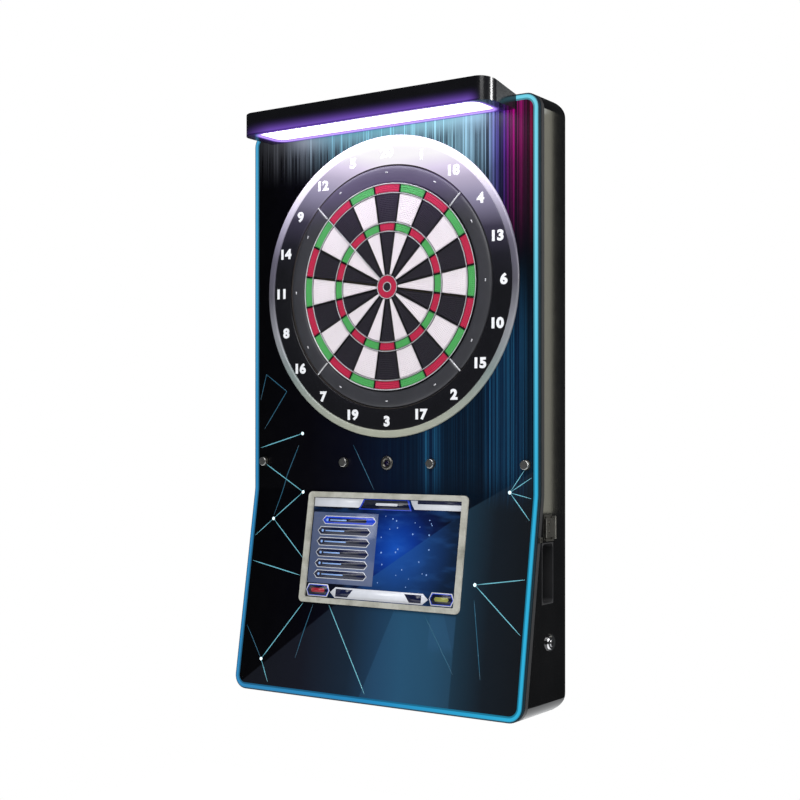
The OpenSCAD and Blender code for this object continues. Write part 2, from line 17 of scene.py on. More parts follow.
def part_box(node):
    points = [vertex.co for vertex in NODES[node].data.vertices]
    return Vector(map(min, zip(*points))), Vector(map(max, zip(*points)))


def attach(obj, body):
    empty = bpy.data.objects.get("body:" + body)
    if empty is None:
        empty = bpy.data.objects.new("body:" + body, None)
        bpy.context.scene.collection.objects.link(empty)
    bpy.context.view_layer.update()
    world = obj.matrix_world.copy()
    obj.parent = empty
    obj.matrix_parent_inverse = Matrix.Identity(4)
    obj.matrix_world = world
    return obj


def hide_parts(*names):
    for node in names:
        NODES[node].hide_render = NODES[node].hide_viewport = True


MM = 0.001
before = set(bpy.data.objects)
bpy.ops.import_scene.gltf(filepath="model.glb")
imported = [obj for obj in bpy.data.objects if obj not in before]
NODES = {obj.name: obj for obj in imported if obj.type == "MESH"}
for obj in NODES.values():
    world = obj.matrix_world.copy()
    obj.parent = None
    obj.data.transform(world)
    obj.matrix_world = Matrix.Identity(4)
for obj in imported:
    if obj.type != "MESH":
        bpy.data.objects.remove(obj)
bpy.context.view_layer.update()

# ---------------------------------------------------------------- places from the frame

SHEET_T = 3 * MM
FACE_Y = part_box("front_panel")[1].y - SHEET_T
BULL = (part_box("bull_inner")[0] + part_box("bull_inner")[1]) / 2
KINK_Z = 0.395
HALF_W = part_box("edge_light")[1].x
TOP_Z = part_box("edge_light")[1].z
# How far the front comes forward from its kink down to its base
LEAN = 0.065
SLOPE = math.atan(LEAN / KINK_Z)
# Middle, half sizes and corner radius of the lamp's window in the hood
LAMP_Y = -0.051
LAMP_HALF_X = 0.250
LAMP_HALF_Y = 0.040
LAMP_R = 0.020
# Half the width over which colours change across the front
PRINT_REACH = 0.33
SECTORS = 20
# Radii of the round walls of the web, from the inner bull outward
WEB_RADII = [radius * MM for radius in (8.8, 22.3, 105.5, 122.5, 178.5, 196.5)]


def face_y(z, depth=0.0):
    """How far back the point of the front at height z and at that depth is."""
    if z >= KINK_Z:
        return FACE_Y + depth
    return FACE_Y + depth / math.cos(SLOPE) - (KINK_Z - z) * math.tan(SLOPE)


def face_point(x, z, depth=0.0):
    return Vector((x, face_y(z, depth), z))


def along_face(x, t, depth=0.0):
    """The point at x whose way along the front from the kink is t minus the kink's height."""
    if t >= KINK_Z:
        return Vector((x, FACE_Y + depth, t))
    down = KINK_Z - t
    y = FACE_Y - down * math.sin(SLOPE) + depth * math.cos(SLOPE)
    return Vector((x, y, KINK_Z - down * math.cos(SLOPE) - depth * math.sin(SLOPE)))


# ---------------------------------------------------------------- node materials


def ink(red, green, blue):
    """A colour given as screen values from 0 to 255, as the linear colour that shaders use."""
    linear = []
    for value in (red, green, blue):
        c = value / 255
        linear.append(c / 12.92 if c <= 0.04045 else ((c + 0.055) / 1.055) ** 2.4)
    return (*linear, 1.0)


def tinted(colour, factor, lift=0.0):
    """The colour made lighter or darker."""
    return tuple(min(1.0, c * factor + lift) for c in colour[:3]) + (1.0,)


class Paint:
    """A procedural material under construction: a Principled shader and helpers that add nodes."""

    def __init__(self, name, **sockets):
        self.mat = bpy.data.materials.new(name)
        self.mat.use_nodes = True
        self.tree = self.mat.node_tree
        self.shader = self.tree.nodes["Principled BSDF"]
        self.mat.diffuse_color = sockets.get("Base_Color", (0.5, 0.5, 0.5, 1))
        for socket, value in sockets.items():
            self.shader.inputs[socket.replace("_", " ")].default_value = value
        self._coord = None

    def node(self, kind, **settings):
        made = self.tree.nodes.new(kind)
        for key, value in settings.items():
            setattr(made, key, value)
        return made

    def link(self, source, target):
        self.tree.links.new(source, target)

    def feed(self, target, value):
        """Links a socket, or sets a number or colour, on an input."""
        if isinstance(value, bpy.types.NodeSocket):
            self.link(value, target)
        else:
            target.default_value = value

    @property
    def place(self):
        """The point in the frame of the part."""
        if self._coord is None:
            self._coord = self.node("ShaderNodeTexCoord").outputs["Object"]
        return self._coord

    def axis(self, name):
        split = self.node("ShaderNodeSeparateXYZ")
        self.link(self.place, split.inputs[0])
        return split.outputs[name]

    def maths(self, operation, a, b=0.0, c=0.0):
        made = self.node("ShaderNodeMath", operation=operation)
        for socket, value in zip(made.inputs, (a, b, c)):
            self.feed(socket, value)
        return made.outputs[0]

    def times(self, product, *factors):
        for factor in factors:
            product = self.maths("MULTIPLY", product, factor)
        return product

    def largest(self, value, *others):
        for other in others:
            value = self.maths("MAXIMUM", value, other)
        return value

    def step(self, value, low, high):
        """0 below low and 1 above high, smooth between. With low above high it falls instead."""
        made = self.node("ShaderNodeMapRange", interpolation_type="SMOOTHSTEP")
        self.feed(made.inputs["Value"], value)
        falling = low > high
        self.feed(made.inputs["From Min"], min(low, high))
        self.feed(made.inputs["From Max"], max(low, high))
        self.feed(made.inputs["To Min"], 1.0 if falling else 0.0)
        self.feed(made.inputs["To Max"], 0.0 if falling else 1.0)
        return made.outputs["Result"]

    def off_window(self):
        """How far outside the lamp's round-cornered window a point of the hood is."""
        x, y = self.axis("X"), self.maths("SUBTRACT", self.axis("Y"), LAMP_Y)
        gaps = []
        for place, half in ((x, LAMP_HALF_X), (y, LAMP_HALF_Y)):
            gap = self.maths("SUBTRACT", self.maths("ABSOLUTE", place), half - LAMP_R)
            gaps.append(self.largest(gap, 0.0))
        beside, ahead = gaps
        squares = self.maths("MULTIPLY_ADD", beside, beside, self.times(ahead, ahead))
        return self.maths("SUBTRACT", self.maths("SQRT", squares), LAMP_R)

    def side_of(self, start, end, soft=0.001):
        """1 to the right of the line from start to end in front view, 0 to its left."""
        (x0, z0), (x1, z1) = start, end
        length = math.hypot(x1 - x0, z1 - z0)
        a, b = (z1 - z0) / length, -(x1 - x0) / length
        along_x = self.times(self.axis("X"), a)
        away = self.maths("MULTIPLY_ADD", self.axis("Z"), b, along_x)
        return self.step(self.maths("SUBTRACT", away, a * x0 + b * z0), -soft, soft)

    def ramp(self, value, *stops):
        """Colours along a value. A stop is its position and the red, green and blue of ink."""
        made = self.node("ShaderNodeValToRGB")
        self.feed(made.inputs[0], value)
        elements = made.color_ramp.elements
        while len(elements) < len(stops):
            elements.new(0.5)
        for element, (position, *tint) in zip(elements, stops):
            element.position = position
            element.color = ink(*tint)
        return made.outputs["Color"]

    def across(self, *stops):
        """A ramp of colours from the left of the front to its right."""
        made = self.node("ShaderNodeMapRange")
        self.link(self.axis("X"), made.inputs["Value"])
        made.inputs["From Min"].default_value = -PRINT_REACH
        made.inputs["From Max"].default_value = PRINT_REACH
        return self.ramp(made.outputs["Result"], *stops)

    def mix(self, share, a, b, blend="MIX"):
        """Colour a where the share is 0 and b where it is 1."""
        made = self.node("ShaderNodeMix", data_type="RGBA", blend_type=blend)
        self.feed(made.inputs["Factor"], share)
        self.feed(made.inputs[6], a)
        self.feed(made.inputs[7], b)
        return made.outputs[2]

    def noise(self, scale, detail=3.0, rough=0.5, stretch=None):
        """Clouds from 0 to 1, finer along an axis whose stretch is larger."""
        made = self.node("ShaderNodeTexNoise")
        made.inputs["Scale"].default_value = scale
        made.inputs["Detail"].default_value = detail
        made.inputs["Roughness"].default_value = rough
        source = self.place
        if stretch:
            scaled = self.node("ShaderNodeVectorMath", operation="MULTIPLY")
            self.link(self.place, scaled.inputs[0])
            scaled.inputs[1].default_value = stretch
            source = scaled.outputs[0]
        self.link(source, made.inputs["Vector"])
        return made.outputs["Fac"]

    def cells(self, scale, feature="F1"):
        made = self.node("ShaderNodeTexVoronoi", feature=feature)
        made.inputs["Scale"].default_value = scale
        self.link(self.place, made.inputs["Vector"])
        return made.outputs["Distance"]

    def between(self, value, low, high):
        """A value from 0 to 1 turned into one from low to high."""
        made = self.node("ShaderNodeMapRange")
        self.feed(made.inputs["Value"], value)
        made.inputs["To Min"].default_value = low
        made.inputs["To Max"].default_value = high
        return made.outputs["Result"]

    def bump(self, height, strength, distance):
        made = self.node("ShaderNodeBump")
        made.inputs["Strength"].default_value = strength
        made.inputs["Distance"].default_value = distance
        self.link(height, made.inputs["Height"])
        self.link(made.outputs["Normal"], self.shader.inputs["Normal"])

    def set(self, socket, value):
        self.feed(self.shader.inputs[socket], value)

    def mottle(self, scale, a, b):
        """A base colour that wanders between two."""
        self.set("Base Color", self.mix(self.noise(scale), a, b))

    def glow(self, colour, strength):
        self.set("Emission Color", colour)
        self.set("Emission Strength", strength)


def plastic(name, colour, roughness=0.4, grain=900.0, bumpy=0.15, wear=0.12, **sockets):
    """Moulded plastic or lacquer: a fine grain, slightly uneven colour and gloss."""
    p = Paint(name, **sockets)
    dark, light = tinted(colour, 1 - wear), tinted(colour, 1 + wear, 0.002)
    p.set("Base Color", p.mix(p.noise(14.0, 4.0), dark, light))
    p.set("Roughness", p.between(p.noise(60.0, 3.0), roughness * 0.85, roughness * 1.2))
    p.bump(p.noise(grain, 2.0), bumpy, 0.0002)
    return p


def metal(name, colour, roughness=0.3, brush=(1.0, 1.0, 40.0), scale=120.0, **sockets):
    """Metal with fine brush marks, short across the marks and long along them."""
    p = Paint(name, Metallic=1.0, **sockets)
    marks = p.noise(scale, 4.0, 0.6, brush)
    p.set("Base Color", p.mix(marks, tinted(colour, 0.82), colour))
    p.set("Roughness", p.between(marks, roughness * 0.8, roughness * 1.35))
    p.bump(marks, 0.12, 0.0002)
    return p


# ---------------------------------------------------------------- the printed front


def front_art():
    """The printed sheet: dark night blue print, a lighter slanted field that is a painted
    reflection, light streaks, and the hood's light painted on as a glow.
    """
    p = Paint("printed_sheet", Roughness=0.4, Specular_IOR_Level=0.16)
    x, z = p.axis("X"), p.axis("Z")

    upper = p.across(
        (0.0, 0, 0, 2), (0.22, 1, 0, 9), (0.36, 3, 5, 24),
        (0.5, 1, 15, 42), (0.66, 0, 19, 40), (1.0, 0, 6, 14),
    )
    # Colours below the slanted line: the print lightened by a painted reflection
    lower = p.across(
        (0.0, 24, 26, 32), (0.25, 26, 29, 42), (0.42, 27, 46, 66),
        (0.52, 33, 70, 102), (0.6, 36, 82, 114), (0.7, 34, 76, 104),
        (0.79, 30, 56, 74), (0.87, 24, 34, 44), (1.0, 23, 26, 31),
    )
    # The slanted line from the lower left corner to the kink; the field below it is a painted
    # reflection
    edge = [(-0.311, 0.012), (-0.107, 0.170), (0.188, 0.370), (0.313, 0.437)]
    below = p.side_of(edge[0], edge[1])
    for start, end in zip(edge[1:], edge[2:]):
        below = p.maths("MINIMUM", below, p.side_of(start, end))
    base = p.mix(below, upper, lower)

    # A brighter facet under the screen, and an upright band at its right end
    facet = p.times(
        p.side_of((-0.024, 0.005), (0.040, 0.175)), p.side_of((0.175, 0.110), (0.215, 0.005)),
        p.step(z, 0.178, 0.172), p.step(x, 0.177, 0.175),
    )
    base = p.mix(p.times(facet, 0.16), base, ink(60, 118, 158), "ADD")
    band = p.times(
        p.step(x, 0.120, 0.122), p.step(x, 0.177, 0.175),
        p.step(z, 0.100, 0.125), p.step(z, 0.178, 0.172),
    )
    base = p.mix(p.times(band, 0.4), base, ink(56, 104, 144))

    # Light streaks that fall from the top to the slanted field
    lines = p.step(p.noise(1.0, 4.0, 0.65, (210.0, 1.0, 0.35)), 0.47, 0.66)
    fine = p.step(p.noise(1.0, 2.0, 0.5, (520.0, 1.0, 0.8)), 0.5, 0.62)
    stripes = p.largest(lines, p.times(fine, 0.55))
    right = p.times(p.step(x, 0.200, 0.228), p.step(x, 0.312, 0.285))
    middle = p.times(
        p.step(x, 0.060, 0.092), p.step(x, 0.135, 0.108), p.step(z, 0.62, 0.50)
    )
    wide = p.times(p.step(x, -0.10, 0.20), 0.22)
    where = p.times(
        p.largest(right, middle, wide), p.step(z, 0.36, 0.46), p.step(z, 0.84, 0.64)
    )
    base = p.mix(p.times(where, 0.45), base, ink(6, 44, 84))
    base = p.mix(p.times(stripes, where, 0.8), base, ink(34, 108, 150))
    p.set("Base Color", p.mix(0.36, base, (0, 0, 0, 1)))
    p.set("Roughness", p.between(p.noise(35.0), 0.34, 0.46))
    p.bump(p.noise(160.0, 2.0), 0.03, 0.0004)

    # The hood's light on the upper front, cyan in the middle and magenta at the right
    glow_tint = p.across(
        (0.0, 0, 0, 2), (0.12, 70, 72, 78), (0.2, 140, 152, 168),
        (0.3, 104, 158, 180), (0.5, 114, 184, 200), (0.72, 158, 212, 232),
        (0.825, 170, 214, 246), (0.862, 116, 108, 212), (0.89, 90, 26, 140),
        (0.91, 170, 10, 130), (0.935, 140, 8, 96), (0.955, 50, 2, 36),
        (0.972, 140, 8, 66), (1.0, 60, 6, 40),
    )
    short = p.times(p.maths("POWER", p.step(z, 0.985, 1.092), 1.35), 1.15)
    long = p.times(p.step(z, 0.80, 1.07), p.step(x, 0.205, 0.235), 0.7)
    mid = p.times(p.step(z, 0.92, 1.05), p.step(x, 0.06, 0.16))
    near_lamp = p.times(p.step(z, 1.040, 1.090), 0.74, p.step(x, 0.235, 0.2))
    share = p.largest(p.between(stripes, 0.08, 1.4), near_lamp)
    p.glow(glow_tint, p.times(p.largest(short, long, mid), share))
    return p.mat


def strip_mesh(points, width, height):
    """A thin raised line with pointed ends, along (x, t) points of the front in millimetres."""
    bm = bmesh.new()
    rows = []
    flat = [Vector((x, t)) * MM for x, t in points]
    fine = [flat[0]]
    for a, b in zip(flat, flat[1:]):
        steps = max(1, int((b - a).length / 0.02))
        fine += [a.lerp(b, (i + 1) / steps) for i in range(steps)]
    for i, place in enumerate(fine):
        before = fine[max(i - 1, 0)]
        after = fine[min(i + 1, len(fine) - 1)]
        along = (after - before).normalized()
        across = Vector((-along.y, along.x)) * width / 2
        if i in (0, len(fine) - 1):
            across *= 0.3
        section = ((1.0, 0.0), (0.6, height), (-0.6, height), (-1.0, 0.0))
        rows.append([
            bm.verts.new(along_face(*(place + across * share), PRINT_DEPTH - lift))
            for share, lift in section
        ])
    bridge(bm, rows)
    for end in (rows[0], rows[-1]):
        bm.faces.new(end)
    return mesh_from(bm, "line")


def dome_mesh(x, t, radius, depth, height, sides=20):
    """A small raised round dot on the front. Its place is in millimetres."""
    bm = bmesh.new()
    rings = []
    for share, lift in ((1.0, 0.0), (0.92, 0.7), (0.6, 1.0)):
        ring = []
        for k in range(sides):
            a = 2 * math.pi * k / sides
            beside, above = radius * share * math.cos(a), radius * share * math.sin(a)
            place = along_face(x * MM + beside, t * MM + above, depth - height * lift)
            ring.append(bm.verts.new(place))
        rings.append(ring)
    bridge(bm, rings)
    bm.faces.new(rings[-1])
    bm.faces.new(reversed(rings[0]))
    return mesh_from(bm, "dot")


# ---------------------------------------------------------------- mesh helpers


def bridge(bm, rings):
    """Quads between neighbouring closed rings of vertices."""
    for a, b in zip(rings, rings[1:]):
        for k in range(len(a)):
            n = (k + 1) % len(a)
            bm.faces.new((a[k], a[n], b[n], b[k]))


def in_scene(name, data):
    """A new object that holds the data, linked to the scene."""
    made = bpy.data.objects.new(name, data)
    bpy.context.scene.collection.objects.link(made)
    return made


def mesh_from(bm, name, smooth=True):
    bmesh.ops.recalc_face_normals(bm, faces=bm.faces)
    mesh = bpy.data.meshes.new(name)
    bm.to_mesh(mesh)
    bm.free()
    mesh.polygons.foreach_set("use_smooth", [smooth] * len(mesh.polygons))
    return in_scene(name, mesh)


def joined(name, pieces):
    """One piece made of several, in place of them."""
    bm = bmesh.new()
    for piece in pieces:
        bm.from_mesh(piece.data)
        bpy.data.objects.remove(piece)
    return mesh_from(bm, name)


def finish_piece(piece, body, material, slot, *nodes):
    """Gives a piece its material and body, and hides the CAD nodes it stands for. The slot is not
    used.
    """
    piece.data.materials.clear()
    piece.data.materials.append(material)
    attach(piece, body)
    if nodes:
        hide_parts(*nodes)
    return piece


def bevel(piece, width, segments):
    made = piece.modifiers.new("Bevel", "BEVEL")
    made.width = width
    made.segments = segments
    made.limit_method = "ANGLE"
    made.angle_limit = math.radians(50)
    made.harden_normals = True


def lathe(name, profile, centre, count=144, start=0.0, end=360.0):
    """A ring or part of one round an axis along Y. The profile is (radius, y) points, closed."""
    bm = bmesh.new()
    full = abs(end - start) >= 360.0
    rings = []
    steps = count if full else count + 1
    for k in range(steps):
        a = math.radians(start + (end - start) * k / count)
        ring = []
        for radius, y in profile:
            place = (centre.x + radius * math.sin(a), y, centre.z + radius * math.cos(a))
            ring.append(bm.verts.new(place))
        rings.append(ring)
    if full:
        rings.append(rings[0])
    bridge(bm, rings)
    if not full:
        bm.faces.new(rings[0])
        bm.faces.new(list(reversed(rings[-1])))
    return mesh_from(bm, name)


def round_profile(r0, r1, y_front, y_back, corner, steps=5):
    """A section between two radii with rounded front corners, as (radius, y) points."""
    points = [(r0, y_back)]
    for k in range(steps + 1):
        a = math.pi / 2 * k / steps
        points.append((r0 + corner * (1 - math.cos(a)), y_front + corner * (1 - math.sin(a))))
    for k in range(steps + 1):
        a = math.pi / 2 * (1 - k / steps)
        points.append((r1 - corner * (1 - math.cos(a)), y_front + corner * (1 - math.sin(a))))
    points.append((r1, y_back))
    return points


def circle(radius, count):
    """Points round the origin, clockwise from the top."""
    turns = [2 * math.pi * k / count for k in range(count)]
    return [(radius * math.sin(a), radius * math.cos(a)) for a in turns]


def clock_axes(turn):
    """The ways outward and clockwise at an angle clockwise from the top."""
    out = Vector((math.sin(turn), 0, math.cos(turn)))
    return out, Vector((out.z, 0, -out.x))


# ---------------------------------------------------------------- the target

HOLE_R = 1.15 * MM
HOLE_PITCH = 3.35 * MM
# Distance of the outermost holes from a pad's edge
HOLE_MARGIN = 1.9 * MM
PIT_DEPTH = 2.2 * MM
# How much a pit narrows to its bottom
PIT_TAPER = 0.45
# Distance of a pad from the middle of the web's walls
PAD_GAP = 1.9 * MM
# Height of the rounded edges of the sector pads and of the bull's pads
PAD_CROWN = 0.8 * MM
BULL_CROWN = 0.5 * MM
# Sector edges whose black wire is drawn in silver as a painted glint, counted clockwise from the
# top
GLINT_SPOKES = (17,)
NUMBER_ORDER = (20, 1, 18, 4, 13, 6, 10, 15, 2, 17, 3, 19, 7, 16, 8, 11, 14, 9, 12, 5)
NUMBER_RADIUS = 255.5 * MM
NUMBER_SIZE = 26 * MM


def wedge_outline(r0, r1):
    """The outline of a sector pad between two radii, pointing up from the bull, as (x, z)."""
    points = []
    for radius, direction in ((r1 - PAD_GAP, 1), (r0 + PAD_GAP, -1)):
        turn = math.pi / SECTORS - PAD_GAP / radius
        steps = max(4, int(radius / (9 * MM)))
        for k in range(steps + 1):
            a = direction * (-turn + 2 * turn * k / steps)
            points.append((radius * math.sin(a), radius * math.cos(a)))
    return points


def hole_places(r0, r1):
    """Centres of the soft-tip holes of a pad, in rows along the arc."""
    margin = PAD_GAP + HOLE_MARGIN
    room = r1 - r0 - 2 * margin
    rows = max(1, round(room / HOLE_PITCH) + 1)
    places = []
    for i in range(rows):
        radius = r0 + margin + (room * i / (rows - 1) if rows > 1 else room / 2)
        reach = radius * math.pi / SECTORS - margin
        count = max(1, int(2 * reach / HOLE_PITCH) + 1)
        for k in range(count):
            arc = 0.0 if count == 1 else -reach + 2 * reach * k / (count - 1)
            places.append((radius * math.sin(arc / radius), radius * math.cos(arc / radius)))
    return places


def closed_edges(first, count):
    """The edges of a loop of numbered points."""
    return [(first + k, first + (k + 1) % count) for k in range(count)]


def pierced_face(bm, rim, edges, holes, front, clear=0.0):
    """A flat face inside a rim with a pit at each hole. Gives the vertices of the rim.

    Nothing is filled nearer to the origin than clear.
    """
    coords = list(rim)
    for x, z in holes:
        edges = edges + closed_edges(len(coords), 8)
        for k in range(8):
            a = math.pi / 4 * (k + 0.5)
            coords.append((x + HOLE_R * math.cos(a), z + HOLE_R * math.sin(a)))
    verts, _, faces, _, _, _ = delaunay_2d_cdt([Vector(c) for c in coords], edges, [], 1, 1e-7)
    made = [bm.verts.new((v.x, front, v.y)) for v in verts]
    for face in faces:
        middle = sum((verts[i] for i in face), Vector((0, 0))) / len(face)
        solid = all((middle - Vector(hole)).length > HOLE_R * 0.9 for hole in holes)
        if solid and middle.length >= clear:
            bm.faces.new([made[i] for i in face])
    for n, (x, z) in enumerate(holes):
        first = len(rim) + 8 * n
        ring = made[first:first + 8]
        low = []
        for v in ring:
            beside, above = (v.co.x - x) * PIT_TAPER, (v.co.z - z) * PIT_TAPER
            low.append(bm.verts.new((x + beside, front + PIT_DEPTH, z + above)))
        bridge(bm, [ring, low])
        bm.faces.new(low)
    return made[:len(rim)]


def pad_mesh(outline, holes, front, back):
    """One pad as bmesh data: a pierced face with pits, a rounded edge and walls."""
    bm = bmesh.new()
    count = len(outline)
    corners = [Vector(point) for point in outline]
    centre = sum(corners, Vector((0, 0))) / count

    def inner(distance):
        """The outline moved in by about that distance."""
        moved = []
        for k, b in enumerate(corners):
            a, c = corners[k - 1], corners[(k + 1) % count]
            n1 = Vector((-(b - a).y, (b - a).x)).normalized()
            n2 = Vector((-(c - b).y, (c - b).x)).normalized()
            n = n1 + n2
            n = n / max(n.dot(n1), 0.35)
            if n.dot(centre - b) <= 0:
                n = -n
            moved.append(b + n * distance)
        return moved

    rim = [tuple(point) for point in inner(PAD_CROWN)]
    rings = [pierced_face(bm, rim, closed_edges(0, count), holes, front)]
    for share, drop in ((0.35, 0.2), (0.0, 1.0)):
        y = front + PAD_CROWN * drop
        rings.append([bm.verts.new((p.x, y, p.y)) for p in inner(PAD_CROWN * share)])
    rings.append([bm.verts.new((x, back, z)) for x, z in outline])
    bridge(bm, rings)
    return bm


def segment_piece(node, ring, first, materials):
    """The ten pads of one colour in one ring, with their soft-tip holes."""
    low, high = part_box(node)
    r0, r1 = WEB_RADII[ring], WEB_RADII[ring + 1]
    pad = pad_mesh(wedge_outline(r0, r1), hole_places(r0, r1), low.y, high.y)
    shape = bpy.data.meshes.new("pad")
    pad.to_mesh(shape)
    pad.free()
    bm = bmesh.new()
    for k in range(first, SECTORS, 2):
        before = len(bm.verts)
        bm.from_mesh(shape)
        bm.verts.ensure_lookup_table()
        turn = Matrix.Rotation(2 * math.pi * k / SECTORS, 3, "Y")
        for v in bm.verts[before:]:
            v.co = turn @ v.co + Vector((BULL.x, 0, BULL.z))
    bpy.data.meshes.remove(shape)
    slot = "segment_" + node.split("_")[1]
    finish_piece(mesh_from(bm, "pads_" + node, smooth=False), node, materials[slot], slot, node)


def bull_pieces(materials):
    """The pierced ring of the bull and its round middle."""
    r0, r1 = WEB_RADII[0] + 0.9 * MM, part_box("bull_outer")[1].x - BULL.x
    radii = (r0 + 2.4 * MM, (r0 + r1) / 2 + 0.1 * MM, r1 - 2.2 * MM)
    rings = [(radius, int(2 * math.pi * radius / HOLE_PITCH)) for radius in radii]
    bull_pad("bull_outer", r0, rings, materials, "segment_red")
    bull_pad("bull_inner", 0.0, ((1.9 * MM, 4), (5.3 * MM, 10)), materials, "segment_black")


def bull_pad(node, r0, hole_rings, materials, slot):
    """A round pierced pad, open in the middle where r0 isn't zero.

    The rings give the radius and the number of the holes.
    """
    low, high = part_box(node)
    r1 = high.x - BULL.x
    sides = 64
    holes = [hole for radius, count in hole_rings for hole in circle(radius, count)]
    rim, edges, walls = circle(r1 - BULL_CROWN, sides), closed_edges(0, sides), [r1]
    if r0:
        rim += circle(r0 + BULL_CROWN, sides)
        edges += closed_edges(sides, sides)
        walls.append(r0)
    bm = bmesh.new()
    clear = r0 + 0.4 * MM if r0 else 0.0
    top = pierced_face(bm, rim, edges, holes, low.y, clear)
    for n, radius in enumerate(walls):
        rings = [top[sides * n:sides * (n + 1)]]
        for y in (low.y + BULL_CROWN, high.y):
            rings.append([bm.verts.new((x, y, z)) for x, z in circle(radius, sides)])
        bridge(bm, rings)
    for v in bm.verts:
        v.co += Vector((BULL.x, 0, BULL.z))
    finish_piece(mesh_from(bm, "pads_" + node, smooth=False), node, materials[slot], slot, node)


def web_piece(silver, black):
    """Round wires on the walls of the web: silver along the rings, black between sectors, save the
    listed glinting spokes, which are silver as a painted glint.
    """
    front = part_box("spider")[0].y
    rings = []
    for radius in WEB_RADII:
        wire = 0.9 * MM if radius < 0.19 else 1.25 * MM
        rings.append(wire_ring(radius, front + wire * 0.8, wire))
    finish_piece(joined("web_rings", rings), "front", silver, "web_black")
    spokes = []
    for k in range(SECTORS):
        out, side = clock_axes(2 * math.pi * (k + 0.5) / SECTORS)
        wire, sunk = (0.9 * MM, 0.5 * MM) if k in GLINT_SPOKES else (0.6 * MM, 0.6 * MM)
        bm = bmesh.new()
        rings = []
        for radius in (WEB_RADII[1], WEB_RADII[5]):
            ring = []
            for n in range(8):
                t = 2 * math.pi * n / 8
                place = out * radius + side * (wire * math.cos(t))
                place += Vector((BULL.x, front + sunk + wire * math.sin(t), BULL.z))
                ring.append(bm.verts.new(place))
            rings.append(ring)
        bridge(bm, rings)
        bm.faces.new(rings[0])
        bm.faces.new(rings[1])
        spokes.append(mesh_from(bm, "wire"))
    # These spokes are the same black wires, given the silver as a painted glint
    bright = [spokes[n] for n in GLINT_SPOKES]
    dull = [spoke for n, spoke in enumerate(spokes) if n not in GLINT_SPOKES]
    finish_piece(joined("web_spokes", dull), "front", black, "web_black")
    finish_piece(joined("web_spokes_glint", bright), "front", silver, "web_black")


def wire_ring(radius, y, wire):
    """A round wire bent into a ring round the bull."""
    section = [2 * math.pi * n / 8 for n in range(8)]
    profile = [(radius + wire * math.cos(t), y + wire * math.sin(t)) for t in section]
    return lathe("wire", profile, BULL, 180)


def catch_ring_pieces(materials):
    """The four quarters of the charcoal ring round the target, each with a rounded section."""
    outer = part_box("catch_ring_4")[1].x - BULL.x
    inner = WEB_RADII[5] + 2.1 * MM
    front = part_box("catch_ring_1")[0].y
    middle, half = (inner + outer) / 2, (outer - inner) / 2 - 0.3 * MM
    section = [(middle - half, front + 9 * MM)]
    for k in range(15):
        a = math.pi * k / 14
        crown = 6.5 * MM * (1 - math.sin(a) ** 0.5)
        section.append((middle - half * math.cos(a), front + crown))
    section.append((middle + half, front + 9 * MM))
    for quarter in range(4):
        name = "catch_ring_%d" % (quarter + 1)
        turn = -45.0 - 90.0 * quarter
        piece = lathe(name + "_moulding", section, BULL, 60, turn + 0.25, turn + 89.75)
        finish_piece(piece, "front", materials["charcoal"], "catch_charcoal", name)

    clips = []
    for k in range(12):
        out, side = clock_axes(math.radians(30 * k))
        middle = Vector((BULL.x, front + 0.2 * MM, BULL.z)) + out * (outer - 13 * MM)
        clips.append(small_block(middle, side * 2.6 * MM, out * 1.2 * MM, 0.9 * MM))
    finish_piece(joined("catch_ring_clips", clips), "front", materials["silver"], "catch_charcoal")

    seams = []
    for k in range(4):
        out, side = clock_axes(math.radians(45 + 90 * k))
        middle = Vector((BULL.x, front + 0.3 * MM, BULL.z)) + out * (inner + outer + 2 * MM) / 2
        long = (outer - inner) / 2
        seams.append(small_block(middle, out * long, side * 1.35 * MM, 1.1 * MM))
    finish_piece(joined("catch_ring_seams", seams), "front", materials["silver"], "catch_charcoal")


def small_block(middle, half_a, half_b, thick):
    """A low block with chamfered top edges: half sides a and b, rising towards the viewer."""
    bm = bmesh.new()
    rows = []
    for lift, share in ((-1.0, 1.0), (0.4, 1.0), (1.0, 0.75)):
        ring = []
        for sa, sb in ((-1, -1), (1, -1), (1, 1), (-1, 1)):
            place = middle + half_a * sa * (1 if share == 1.0 else 0.94) + half_b * sb * share
            ring.append(bm.verts.new(place + Vector((0, -thick * lift, 0))))
        rows.append(ring)
    bridge(bm, rows)
    bm.faces.new(rows[0])
    bm.faces.new(rows[-1])
    return mesh_from(bm, "block", smooth=False)


def number_ring_piece(material):
    low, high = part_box("number_ring")
    r1 = high.x - BULL.x
    r0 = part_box("catch_ring_4")[1].x - BULL.x + 2.4 * MM
    profile = [
        (r0, high.y), (r0, low.y + 0.8 * MM), (r0 + 0.8 * MM, low.y), (r1 - 1.4 * MM, low.y),
        (r1 - 0.4 * MM, low.y + 0.3 * MM), (r1 - 0.1 * MM, high.y),
    ]
    piece = lathe("number_band", profile, BULL, 180)
    return finish_piece(piece, "front", material, "number_band", "number_ring")


def rim_piece(material):
    low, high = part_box("rim_ring")
    r1 = high.x - BULL.x
    r0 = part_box("number_ring")[1].x - BULL.x
    profile = round_profile(r0, r1, low.y, high.y, 3.6 * MM, 6)
    piece = lathe("rim_moulding", profile, BULL, 200)
    return finish_piece(piece, "front", material, "pale_rim", "rim_ring")


